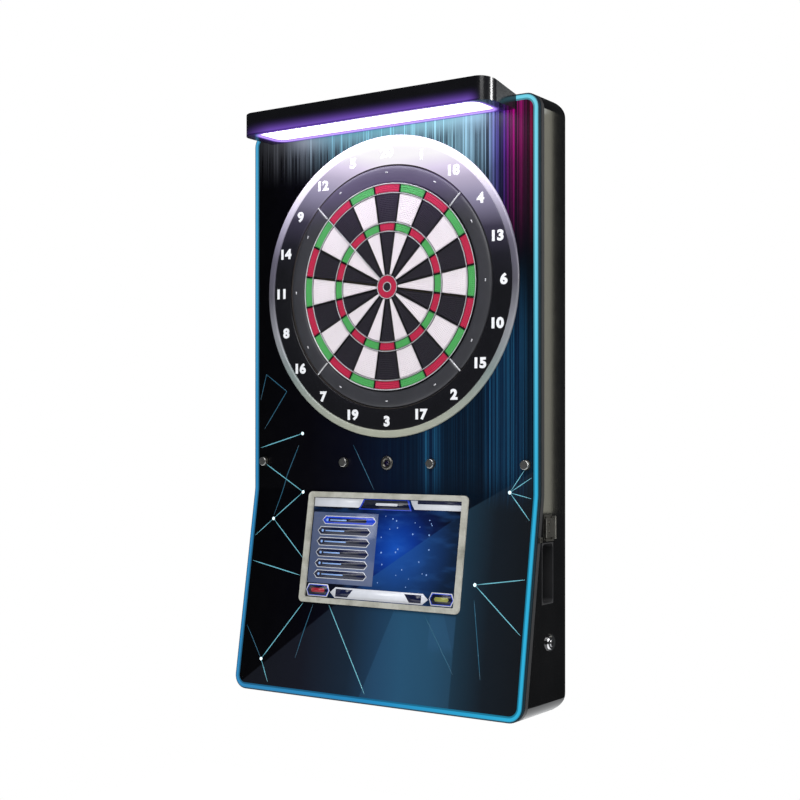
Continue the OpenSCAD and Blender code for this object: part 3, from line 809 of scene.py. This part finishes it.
def numerals_piece(material):
    """The numbers round the target as flat raised prints on the band."""
    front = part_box("number_ring")[0].y
    pieces = []
    for number, (x, z) in zip(NUMBER_ORDER, circle(NUMBER_RADIUS, SECTORS)):
        curve = bpy.data.curves.new("numeral", "FONT")
        curve.body = str(number)
        curve.size = NUMBER_SIZE
        curve.offset = 1.2 * MM
        curve.space_character = 1.02
        curve.extrude = 0.35 * MM
        curve.bevel_depth = 0.12 * MM
        curve.align_x = curve.align_y = "CENTER"
        curve.resolution_u = 4
        holder = in_scene("numeral", curve)
        bpy.context.view_layer.update()
        graph = bpy.context.evaluated_depsgraph_get()
        mesh = bpy.data.meshes.new_from_object(holder.evaluated_get(graph))
        bpy.data.objects.remove(holder)
        xs = [v.co.x for v in mesh.vertices]
        ys = [v.co.y for v in mesh.vertices]
        middle = Vector(((min(xs) + max(xs)) / 2, (min(ys) + max(ys)) / 2, 0))
        for v in mesh.vertices:
            flat = v.co - middle
            raised = Vector((flat.x * 1.12, -flat.z, flat.y * 0.98))
            v.co = Vector((BULL.x + x, front, BULL.z + z)) + raised
        pieces.append(in_scene("numeral", mesh))
    finish_piece(joined("numerals", pieces), "front", material, "number_band")


# ---------------------------------------------------------------- prints on the front

# Bright lines of the printed network, as places along the front in millimetres
BRIGHT_LINES = (
    ((-203, 506), (-310, 477)), ((-302, 448), (-201, 390)), ((-201, 390), (-269, 335)),
    ((-269, 335), (-311, 300)), ((-269, 335), (-185, 260)), ((-311, 249), (-188, 226)),
    ((-174, 173), (-264, 57)), ((-264, 57), (-242, 14)), ((-111, 173), (-9, 14)),
    ((267, 400), (299, 443)), ((267, 400), (311, 390)), ((267, 400), (311, 351)),
    ((267, 400), (311, 427)), ((210, 231), (311, 246)), ((210, 231), (311, 148)),
)
FAINT_LINES = (
    ((-212, 483), (-242, 423), (-269, 342)), ((-149, 172), (-165, 121), (-180, 66)),
    ((-79, 484), (-30, 398)), ((107, 171), (179, 68)), ((211, 204), (237, 64)),
    ((-310, 574), (-295, 625), (-243, 590), (-300, 515)), ((-264, 57), (-308, 120)),
)
PRINT_DEPTH = 0.05 * MM
DOTS = ((-203, 506), (-201, 390), (-269, 335), (-264, 57), (267, 400), (210, 231), (-302, 448))


def glow_print(name, colour, strength):
    p = Paint(name, Roughness=0.2)
    p.mottle(30.0, tinted(colour, 0.5), colour)
    p.glow(colour, p.between(p.noise(18.0), strength * 0.75, strength * 1.15))
    return p.mat


def network_pieces():
    prints = (
        ("network_lines", BRIGHT_LINES, 1.9, 0.3,
         glow_print("print_cyan", ink(98, 164, 178), 0.52)),
        ("network_faint_lines", FAINT_LINES, 1.8, 0.25,
         glow_print("print_teal", ink(40, 84, 106), 0.42)),
    )
    for name, lines, width, height, look in prints:
        strips = [strip_mesh(line, width * MM, height * MM) for line in lines]
        finish_piece(joined(name, strips), "front", look, "printed_sheet")
    dots = [dome_mesh(x, t, 3.4 * MM, PRINT_DEPTH, 0.5 * MM) for x, t in DOTS]
    look = glow_print("print_white", ink(215, 240, 246), 0.9)
    finish_piece(joined("network_dots", dots), "front", look, "printed_sheet")


# ---------------------------------------------------------------- the screen


def plate(points, depth, lift):
    """A thin flat print with the outline given, along the front, risen from a depth."""
    bm = bmesh.new()
    low = [bm.verts.new(along_face(x * MM, t * MM, depth)) for x, t in points]
    high = [bm.verts.new(along_face(x * MM, t * MM, depth - lift)) for x, t in points]
    bridge(bm, [low, high])
    bm.faces.new(low)
    bm.faces.new(high)
    return mesh_from(bm, "plate", smooth=False)


def bar(x0, x1, t0, t1, cut=0.0, inset=0.0):
    """A bar with pointed ends, drawn in by inset, as (x, t) points in millimetres."""
    x0, x1, t0, t1 = x0 + inset, x1 - inset, t0 + inset, t1 - inset
    if not cut:
        return [(x0, t0), (x1, t0), (x1, t1), (x0, t1)]
    middle = (t0 + t1) / 2
    return [
        (x0, middle), (x0 + cut, t0), (x1 - cut, t0),
        (x1, middle), (x1 - cut, t1), (x0 + cut, t1),
    ]


MENU_ROWS = (337, 316, 295, 273.5, 252.5, 231.5)
# How far the picture's lowest layer starts below the glass, in millimetres
SCREEN_BASE = 0.02
# The colour and the strength of each part of the picture
SCREEN_LOOKS = {
    "silver": (ink(168, 170, 176), 0.85),
    "dark": (ink(8, 14, 34), 0.7),
    "blue": (ink(18, 50, 160), 0.85),
    "red": (ink(124, 26, 38), 0.75),
    "lime": (ink(116, 118, 56), 0.8),
    "white": (ink(112, 142, 190), 0.75),
    "panel": (ink(58, 70, 100), 0.8),
    "navy": (ink(10, 16, 44), 0.8),
}


def screen_pieces():
    """A plain menu picture: bars, six rows with icons, two framed keys and small lights."""
    parts = {look: [] for look in SCREEN_LOOKS}

    def add(look, points, level, height):
        """A plate that starts at a level above the lowest layer, in millimetres."""
        parts[look].append(plate(points, (SCREEN_BASE - level) * MM, height * MM))

    # The upper edge, with a dark plate in a blue frame in its middle
    add("silver", bar(-169, -62, 363, 380), 0, 0.25)
    add("silver", [(-62, 363), (-50, 376), (-50, 380), (-62, 380)], 0, 0.25)
    add("silver", [(56, 380), (60, 372), (66, 363), (169, 363), (169, 372), (169, 380)], 0, 0.25)
    add("navy", bar(72, 168, 373.5, 380), 0.25, 0.1)
    add("blue", [(-62, 360), (60, 360), (52, 380), (-52, 380)], 0, 0.3)
    add("dark", [(-58, 361.5), (56, 361.5), (48.5, 379), (-48.5, 379)], 0.3, 0.15)
    add("silver", bar(-24, 28, 368, 373, 2.2), 0.45, 0.1)

    # The menu: the first row is picked out in blue
    add("panel", bar(-168, -14.5, 214, 352), 0, 0.15)
    for row, middle in enumerate(MENU_ROWS):
        x0, x1, fill = (-146, -18, "blue") if row == 0 else (-155, -29, "navy")
        low, high = middle - 8.2, middle + 8.2
        end = x0 + 58 + 6 * (row % 3)
        add("silver", bar(x0, x1, low, high, 7), 0.15, 0.2)
        add(fill, bar(x0, x1, low, high, 7, 1.3), 0.35, 0.12)
        add("dark", bar(x0 + 14, x1 - 22, middle - 3.6, middle + 3.6, 2.5), 0.47, 0.08)
        add("white", bar(x0 + 19, end, middle - 1.2, middle + 1.2), 0.55, 0.06)
        depth = (SCREEN_BASE - 0.4) * MM
        parts["white"].append(dome_mesh(x0 + 12, middle, 2.8 * MM, depth, 0.25 * MM, 12))

    # The lower edge, with a framed key at either end
    add("silver", bar(-111, 113, 187.5, 208, 12), 0, 0.3)
    add("navy", [(-98, 190), (-70, 190), (-58, 205), (-98, 205)], 0.3, 0.1)
    add("navy", [(98, 190), (98, 205), (60, 205), (72, 190)], 0.3, 0.1)
    for x0, x1, fill in ((-169, -113, "red"), (115, 169, "lime")):
        add("silver", bar(x0, x1, 188, 212, 5), 0, 0.25)
        add("blue", bar(x0, x1, 188, 212, 5, 1.6), 0.25, 0.1)
        add("dark", bar(x0, x1, 188, 212, 5, 3.0), 0.35, 0.1)
        add(fill, bar(x0 + 11, x1 - 11, 196, 204, 3), 0.45, 0.1)

    spots = random.Random(5)
    for _ in range(26):
        x, t = spots.uniform(-4, 110), spots.uniform(216, 352)
        size = spots.uniform(0.9, 1.9) * MM
        parts["white"].append(dome_mesh(x, t, size, SCREEN_BASE * MM, 0.2 * MM, 8))
    for look, (colour, strength) in SCREEN_LOOKS.items():
        name = "screen_" + look
        material = glow_print(name, colour, strength)
        finish_piece(joined(name, parts[look]), "front", material, "screen_glass")


def screen_art():
    """The glass: a lit picture of a blue glow on black, crossed by the same slanted field, a
    reflection painted as a lighter tone.
    """
    p = Paint("screen_glass", Roughness=0.07)
    x, z = p.axis("X"), p.axis("Z")
    dx = p.maths("SUBTRACT", x, 0.030)
    dz = p.maths("SUBTRACT", z, 0.290)
    away = p.maths("SQRT", p.maths("MULTIPLY_ADD", dx, dx, p.times(dz, dz)))
    glow = p.ramp(
        p.times(away, 1 / 0.16),
        (0.0, 18, 80, 186), (0.25, 8, 54, 146), (0.5, 4, 24, 76), (0.8, 2, 5, 20),
    )
    rays = p.step(p.noise(1.0, 2.0, 0.5, (18.0, 1.0, 60.0)), 0.45, 0.75)
    glow = p.mix(p.times(rays, 0.12), glow, ink(70, 140, 235))
    # Below the slanted line the picture is lightened by a painted reflection, more so near the glow
    below = p.side_of((-0.107, 0.174), (0.188, 0.370), 0.001)
    painted_reflection_near_glow = p.times(below, p.step(away, 0.15, 0.03))
    glow = p.mix(p.times(below, 0.25), glow, ink(30, 60, 96))
    glow = p.mix(p.times(painted_reflection_near_glow, 0.45), glow, ink(34, 92, 168))
    p.mottle(20.0, ink(4, 5, 9), ink(9, 11, 17))
    p.glow(glow, p.between(p.noise(45.0), 0.82, 0.95))
    p.bump(p.noise(60.0), 0.01, 0.0003)
    return p.mat


# ---------------------------------------------------------------- the edge light

CORNER_R = 28 * MM
# Heights above and below the kink at which the long sides have points
KINK_STEPS = (0.08, 0.012, 0.002, -0.006, -0.016, -0.1)
# The guide's section: inset from the outline and depth behind the front, in millimetres
STRIP_PROFILE = (
    (12.4, 4.0), (12.4, 1.2), (10.6, 0.6), (9.2, 0.25), (7.8, 0.08), (6.4, 0.02),
    (5.0, 0.1), (3.8, 0.3), (2.4, 0.9), (0.9, 2.0), (0.05, 3.6), (0.05, 6.0),
)


def outline_loop(inset, depth):
    """The front's outline, drawn in, as points at one depth."""
    right, top, r = HALF_W - inset, TOP_Z - inset, CORNER_R - inset
    points = []
    corners = ((1, 1), (1, -1), (-1, -1), (-1, 1))
    for n, (sx, sz) in enumerate(corners):
        cx = sx * (right - r)
        cz = top - r if sz > 0 else inset + r
        for k in range(9):
            a = math.pi / 2 * (n + k / 8)
            points.append((cx + r * math.sin(a), cz + r * math.cos(a)))
        if n in (0, 2):
            side = KINK_STEPS if n == 0 else reversed(KINK_STEPS)
            points += [(sx * right, KINK_Z + step) for step in side]
    return [face_point(x, z, depth) for x, z in points]


def edge_light_piece(glow):
    """The light guide round the front, with a lit crown and dark borders."""
    bm = bmesh.new()
    loops = []
    for inset, depth in STRIP_PROFILE:
        loops.append([bm.verts.new(v) for v in outline_loop(inset * MM, depth * MM)])
    loops.append(loops[0])
    bridge(bm, loops)
    piece = mesh_from(bm, "edge_light_guide")
    finish_piece(piece, "front", glow, "edge_glow", "edge_light")
    border = Paint("edge_border", Roughness=0.6, Specular_IOR_Level=0.1)
    border.mottle(20.0, ink(4, 14, 18), ink(8, 24, 30))
    border.glow(border.mix(border.noise(9.0), ink(8, 60, 84), ink(12, 74, 98)), 0.14)
    piece.data.materials.append(border.mat)
    piece.data.materials.append(edge_glow("edge_glow_soft", 0.42))
    # The rows of the section along its crown are bright, those beside them dimmer
    looks = {3: 0, 4: 0, 5: 0, 6: 0, 1: 2, 2: 2, 7: 2}
    for face in piece.data.polygons:
        face.material_index = looks.get(face.index // len(loops[0]), 1)


# ---------------------------------------------------------------- camera, lights and floor

FLOOR_Z = -1.6
FLOOR_HALF = 4.5
# Strength of the surrounding as matt surfaces and as shiny ones see it
AMBIENT = 0.5
MIRRORED = 0.035
COOL_WHITE = (0.9, 0.95, 1.0)


def add_camera():
    camera = bpy.data.cameras.new("camera")
    camera.sensor_width = 36
    camera.lens = 62.6
    camera.shift_y = 0.0406
    holder = in_scene("camera", camera)
    holder.location = (1.496, -2.183, 0.508)
    holder.rotation_euler = (math.radians(90), 0, math.radians(33.9))
    bpy.context.scene.camera = holder


def add_area(name, place, target, size, power, colour=(1, 1, 1)):
    """A rectangular light at a place, turned to a target. Its power is in watts."""
    light = bpy.data.lights.new(name, "AREA")
    light.shape = "RECTANGLE"
    light.size, light.size_y = size
    light.energy = power
    light.color = colour
    holder = in_scene(name, light)
    holder.location = place
    aim = Vector(target) - Vector(place)
    holder.rotation_euler = aim.to_track_quat("-Z", "Y").to_euler()


def add_stage():
    """A pale floor well below the wall-hung cabinet and an even pale surrounding."""
    p = Paint("stage_floor", Roughness=0.9)
    p.mottle(1.5, (0.84, 0.84, 0.84, 1), (0.88, 0.88, 0.88, 1))
    p.glow((1.0, 1.0, 1.0, 1), 0.62)
    bm = bmesh.new()
    bmesh.ops.create_grid(bm, x_segments=8, y_segments=8, size=FLOOR_HALF)
    bmesh.ops.translate(bm, verts=bm.verts, vec=(0, 0, FLOOR_Z))
    floor = mesh_from(bm, "stage_floor")
    floor.data.materials.append(p.mat)

    world = bpy.data.worlds.new("surrounding")
    bpy.context.scene.world = world
    world.use_nodes = True
    tree = world.node_tree
    for node in list(tree.nodes):
        tree.nodes.remove(node)
    path = tree.nodes.new("ShaderNodeLightPath")

    def background(colour, strength):
        made = tree.nodes.new("ShaderNodeBackground")
        made.inputs["Color"].default_value = (*colour, 1)
        made.inputs["Strength"].default_value = strength
        return made.outputs[0]

    def choose(ray, other, chosen):
        """The chosen shader for one kind of ray and the other shader for the rest."""
        made = tree.nodes.new("ShaderNodeMixShader")
        for source, target in zip((path.outputs[ray], other, chosen), made.inputs):
            tree.links.new(source, target)
        return made.outputs[0]

    lit = choose("Is Glossy Ray", background(COOL_WHITE, AMBIENT), background(COOL_WHITE, MIRRORED))
    seen = choose("Is Camera Ray", lit, background((1, 1, 1), 1.0))
    tree.links.new(seen, tree.nodes.new("ShaderNodeOutputWorld").inputs[0])


def add_lights():
    # A tall narrow strip that the right side of the cabinet mirrors as a broad band
    add_area(
        "side_strip", (1.034, 1.342, 0.88), (0.327, 0.03, 0.7), (0.050, 1.22), 0.32,
        (1.0, 0.98, 0.80),
    )
    # A small upright light that draws a glint on rounded corners
    add_area("corner_glint", (2.7, 0.19, 1.3), (0.25, -0.05, 1.0), (0.5, 0.9), 90)
    # A small light that the end of the hood mirrors
    add_area(
        "hood_end_strip", (1.10, 1.36, 1.50), (0.28, -0.05, 1.1), (0.12, 0.14), 0.10, COOL_WHITE
    )
    # Soft light from above and from the right
    add_area("top_softbox", (1.0, -1.5, 3.0), (0, 0, 0.5), (2.4, 2.0), 60)
    # A weak fill from the front, off the line that the front would mirror
    add_area("front_fill", (1.5, -3.1, 2.6), (0, 0, 0.6), (1.4, 1.2), 34)


# ---------------------------------------------------------------- materials by slot


def edge_glow(name="edge_glow", strength=1.0):
    """Light guide: cyan where light leaves it, darker along both of its borders."""
    p = Paint(name, Roughness=0.3, Specular_IOR_Level=0.15)
    tint = p.across(
        (0.0, 46, 124, 176), (0.5, 28, 128, 184), (1.0, 42, 170, 212),
    )
    upper = p.across((0.0, 72, 156, 200), (0.5, 76, 188, 214), (1.0, 116, 208, 228))
    tint = p.mix(p.step(p.axis("Z"), 0.35, 1.0), tint, upper)
    p.mottle(9.0, ink(14, 44, 54), ink(20, 56, 66))
    p.glow(tint, p.between(p.noise(14.0), 0.94 * strength, 1.06 * strength))
    p.bump(p.noise(220.0), 0.05, 0.0003)
    return p.mat


def hood_glow():
    p = Paint("hood_glow", Roughness=0.35)
    p.mottle(30.0, (0.85, 0.88, 0.95, 1), (0.92, 0.92, 0.97, 1))
    core = p.step(p.off_window(), 0.001, -0.013)
    p.set("Emission Color", p.mix(core, (0.36, 0.12, 1.0, 1), (0.93, 0.90, 1.0, 1)))
    light = p.times(p.maths("POWER", core, 2.0), 6.2)
    p.set("Emission Strength", p.maths("ADD", light, p.between(p.noise(12.0), 0.8, 1.1)))
    return p.mat


def hood_black():
    """The hood's lacquer, with violet light painted along its lower edge and round the lamp's
    window on its underside.
    """
    p = plastic("hood_black", (0.003, 0.003, 0.004, 1), 0.2, 500.0, 0.02, 0.3)
    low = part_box("hood_shell")[0]
    x, z = p.axis("X"), p.axis("Z")
    # Painted violet light along the lower edge of the front, fading towards the ends
    lit = p.maths("POWER", p.step(z, low.z + 0.032, low.z - 0.004), 2.4)
    ends = p.times(p.step(x, -0.285, -0.2), p.step(x, 0.265, 0.235))
    lit = p.times(lit, ends)
    # Painted violet light on the underside round the lamp's window
    under = p.step(z, low.z + 0.0035, low.z + 0.0015)
    gap = p.largest(p.off_window(), 0.0)
    rim = p.times(p.maths("POWER", p.step(gap, 0.022, -0.004), 2.0), 1.3)
    tint = p.mix(p.step(gap, 0.010, 0.0), ink(66, 30, 128), ink(176, 134, 255))
    p.glow(p.mix(under, ink(124, 84, 200), tint), p.largest(lit, p.times(under, rim)))
    return p.mat


def number_black():
    """The number band, with the hood's light from above painted on as a glow: white at the top and
    black below.
    """
    p = Paint("number_band", Roughness=0.22)
    z = p.maths("MULTIPLY_ADD", p.maths("MINIMUM", p.axis("X"), 0.0), 0.22, p.axis("Z"))
    p.mottle(40.0, ink(14, 14, 16), ink(20, 20, 23))
    glow = p.ramp(
        p.maths("MULTIPLY_ADD", z, 1 / 0.3, -0.77 / 0.3),
        (0.0, 6, 6, 9), (0.2, 22, 21, 30), (0.37, 56, 52, 70),
        (0.57, 146, 140, 168), (0.69, 190, 180, 206), (0.77, 228, 216, 242),
        (0.86, 252, 249, 253),
    )
    p.glow(glow, p.between(p.noise(25.0), 0.94, 1.0))
    p.bump(p.noise(700.0), 0.1, 0.0002)
    return p.mat


def rim_pale():
    p = Paint("pale_rim", Roughness=0.3)
    z = p.axis("Z")
    # Painted light and shade by height: pale at the bottom, darker in the middle, light at the top
    painted_light_and_shade = p.ramp(
        p.maths("MULTIPLY_ADD", z, 1 / 0.6, -0.48 / 0.6),
        (0.0, 172, 172, 152), (0.1, 160, 164, 150), (0.23, 128, 140, 137),
        (0.37, 138, 138, 144), (0.5, 84, 82, 92), (0.62, 92, 88, 104),
        (0.75, 150, 144, 165), (1.0, 215, 210, 222),
    )
    p.set("Base Color", p.mix(p.times(p.noise(50.0), 0.25), painted_light_and_shade, ink(90, 90, 88)))
    # The hood's light painted on the top as a glow
    lit = p.step(z, 0.84, 1.02)
    p.glow(p.mix(lit, ink(100, 96, 118), ink(250, 240, 252)), p.times(lit, 0.8))
    p.bump(p.noise(600.0), 0.1, 0.0002)
    return p.mat


def catch_charcoal():
    """Grained charcoal plastic, with the hood's violet light painted on its top as a glow."""
    p = Paint("catch_charcoal", Roughness=0.42)
    z = p.axis("Z")
    p.set("Base Color", p.mix(p.noise(25.0, 4.0), ink(46, 46, 50), ink(58, 58, 63)))
    p.set("Roughness", p.between(p.noise(300.0), 0.36, 0.5))
    lit = p.step(z, 0.885, 0.985)
    p.glow(p.mix(lit, ink(48, 42, 66), ink(96, 80, 124)), p.times(lit, 0.62))
    p.bump(p.cells(420.0), 0.25, 0.0003)
    return p.mat


def segment_plastic(name, colour, sheen=0.35):
    """Soft-tip target plastic: matt with fine grain and small dart scuffs, and near the top a faint
    violet glow that paints on the hood's light.
    """
    p = Paint(name, Roughness=sheen)
    worn = p.step(p.noise(190.0, 5.0, 0.7), 0.62, 0.72)
    base = p.mix(p.noise(22.0, 4.0), tinted(colour, 0.86), colour)
    p.set("Base Color", p.mix(p.times(worn, 0.25), base, tinted(colour, 1.25, 0.01)))
    p.set("Roughness", p.between(p.noise(80.0), sheen * 0.85, sheen * 1.25))
    # The hood's violet light, painted as a faint glow on everything near the top
    p.glow(
        p.mix(p.noise(9.0), ink(150, 118, 190), ink(164, 134, 204)),
        p.times(p.step(p.axis("Z"), 0.84, 1.0), 0.055),
    )
    p.bump(p.noise(1200.0), 0.15, 0.0002)
    return p.mat


def board_green(name, colour, part_y=None):
    """Circuit board: lacquer over copper tracks. Parts that stand before part_y are dark."""
    p = Paint(name, Roughness=0.35)
    tracks = p.step(p.cells(140.0, "DISTANCE_TO_EDGE"), 0.03, 0.05)
    base = p.mix(tracks, colour, p.mix(p.noise(30.0), tinted(colour, 0.55), colour))
    if part_y is not None:
        part = p.step(p.axis("Y"), part_y + 0.0004, part_y - 0.0004)
        parts = p.mix(p.step(p.cells(22.0), 0.45, 0.5), ink(24, 24, 26), ink(60, 62, 66))
        base = p.mix(part, base, parts)
    p.set("Base Color", base)
    p.bump(tracks, 0.2, 0.0003)
    return p.mat


def lens_glass():
    """A dark lens: deep violet in the middle."""
    p = Paint("lens", Roughness=0.04, Coat_Weight=1.0)
    p.mottle(60.0, ink(8, 6, 24), ink(22, 16, 60))
    p.set("Roughness", p.between(p.noise(40.0), 0.03, 0.06))
    return p.mat


def rocker_red():
    p = plastic("rocker_red", (0.45, 0.015, 0.012, 1), 0.28, 700.0, 0.08)
    p.glow(p.mix(p.noise(60.0), (0.9, 0.03, 0.02, 1), (0.8, 0.05, 0.03, 1)), 0.25)
    return p.mat


def bezel_silver():
    """Pale silver paint, blotchy and slightly brushed along the bars."""
    p = Paint("bezel_silver", Roughness=0.34, Metallic=0.25)
    patches = p.noise(1.0, 4.0, 0.6, (16.0, 10.0, 16.0))
    base = p.ramp(
        patches, (0.3, 132, 130, 116), (0.45, 176, 174, 160), (0.55, 196, 194, 182),
        (0.7, 150, 146, 134),
    )
    brush = p.noise(300.0, 3.0, 0.6, (0.1, 1.0, 1.0))
    p.set("Base Color", p.mix(p.times(brush, 0.3), base, ink(222, 221, 212)))
    p.set("Roughness", p.between(brush, 0.28, 0.42))
    p.bump(brush, 0.12, 0.0002)
    return p.mat


def slot_materials():
    """One material for each slot. A plastic or metal is its name, colour and finish."""
    plastics = (
        ("gloss_black", (0.0015, 0.0015, 0.0017, 1), 0.05, 500.0, 0.005, 0.3),
        ("satin_black", (0.014, 0.014, 0.015, 1), 0.42),
        ("frame_black", (0.010, 0.010, 0.011, 1), 0.5, 600.0, 0.25),
        ("backing_board", (0.05, 0.04, 0.035, 1), 0.7, 300.0, 0.4, 0.25),
        ("web_black", (0.012, 0.012, 0.013, 1), 0.35),
        ("membrane", (0.55, 0.36, 0.12, 1), 0.3),
        ("rubber", (0.03, 0.03, 0.03, 1), 0.8, 400.0, 0.4),
    )
    metals = (
        ("zinc", (0.52, 0.53, 0.54, 1), 0.38, (1.0, 1.0, 1.0), 60.0),
        ("chrome", (0.78, 0.78, 0.79, 1), 0.12, (1.0, 1.0, 6.0), 90.0),
        ("brushed_metal", (0.62, 0.61, 0.58, 1), 0.30, (1.0, 1.0, 30.0), 60.0),
        ("dark_metal", (0.16, 0.155, 0.14, 1), 0.38),
    )
    segments = (
        ("segment_red", ink(196, 40, 76)),
        ("segment_green", ink(84, 176, 96)),
        ("segment_black", ink(44, 41, 49)),
        ("segment_white", ink(238, 229, 233), 0.4),
    )
    parts_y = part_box("main_board")[1].y - 0.0105
    return {
        **{look[0]: plastic(*look).mat for look in plastics},
        **{look[0]: metal(*look).mat for look in metals},
        **{look[0]: segment_plastic(*look) for look in segments},
        "printed_sheet": front_art(),
        "edge_glow": edge_glow(),
        "hood_glow": hood_glow(),
        "circuit_board": board_green("circuit_board", (0.02, 0.12, 0.045, 1), parts_y),
        "led_board": board_green("led_board", (0.55, 0.56, 0.55, 1)),
        "number_band": number_black(),
        "pale_rim": rim_pale(),
        "catch_charcoal": catch_charcoal(),
        "screen_glass": screen_art(),
        "lens": lens_glass(),
        "rocker_red": rocker_red(),
    }


def paint_frame(materials):
    """Every CAD node gets the finish of its slot, and hard edges get a small bevel."""
    for name, node in NODES.items():
        slot = node.data.materials[0].name.split(".")[0]
        node.data.materials[0] = materials[slot]
    NODES["hood_shell"].data.materials[0] = hood_black()
    NODES["screen_bezel"].data.materials[0] = bezel_silver()
    bevel(NODES["screen_bezel"], 1.0 * MM, 3)
    for name in ("latch_base", "latch_paddle", "latch_keeper", "camera_ring"):
        NODES[name].data.materials[0] = materials["dark_metal"]
    for name in ("cabinet_side_left", "cabinet_side_right", "cabinet_top", "cabinet_bottom"):
        bevel(NODES[name], 0.6 * MM, 2)
    bevel(NODES["hood_shell"], 1.2 * MM, 3)


# ---------------------------------------------------------------- build


def build_target(materials):
    pads = (
        ("double_red", 4, 0), ("double_green", 4, 1), ("outer_black", 3, 0), ("outer_white", 3, 1),
        ("treble_red", 2, 0), ("treble_green", 2, 1), ("inner_black", 1, 0), ("inner_white", 1, 1),
    )
    for node, ring, first in pads:
        segment_piece(node, ring, first, materials)
    bull_pieces(materials)
    wire = metal("wire_silver", (0.66, 0.66, 0.68, 1), 0.3, (1.0, 1.0, 1.0), 200.0)
    wire.shader.inputs["Metallic"].default_value = 0.3
    silver = wire.mat
    web_piece(silver, materials["web_black"])
    catch_ring_pieces({"charcoal": materials["catch_charcoal"], "silver": silver})
    number_ring_piece(materials["number_band"])
    rim_piece(materials["pale_rim"])
    numerals_piece(segment_plastic("numeral_white", ink(240, 240, 242), 0.4))


def build():
    materials = slot_materials()
    paint_frame(materials)
    build_target(materials)
    network_pieces()
    screen_pieces()
    edge_light_piece(materials["edge_glow"])
    add_stage()
    add_camera()
    add_lights()
    bpy.context.scene.view_settings.view_transform = "Standard"


build()
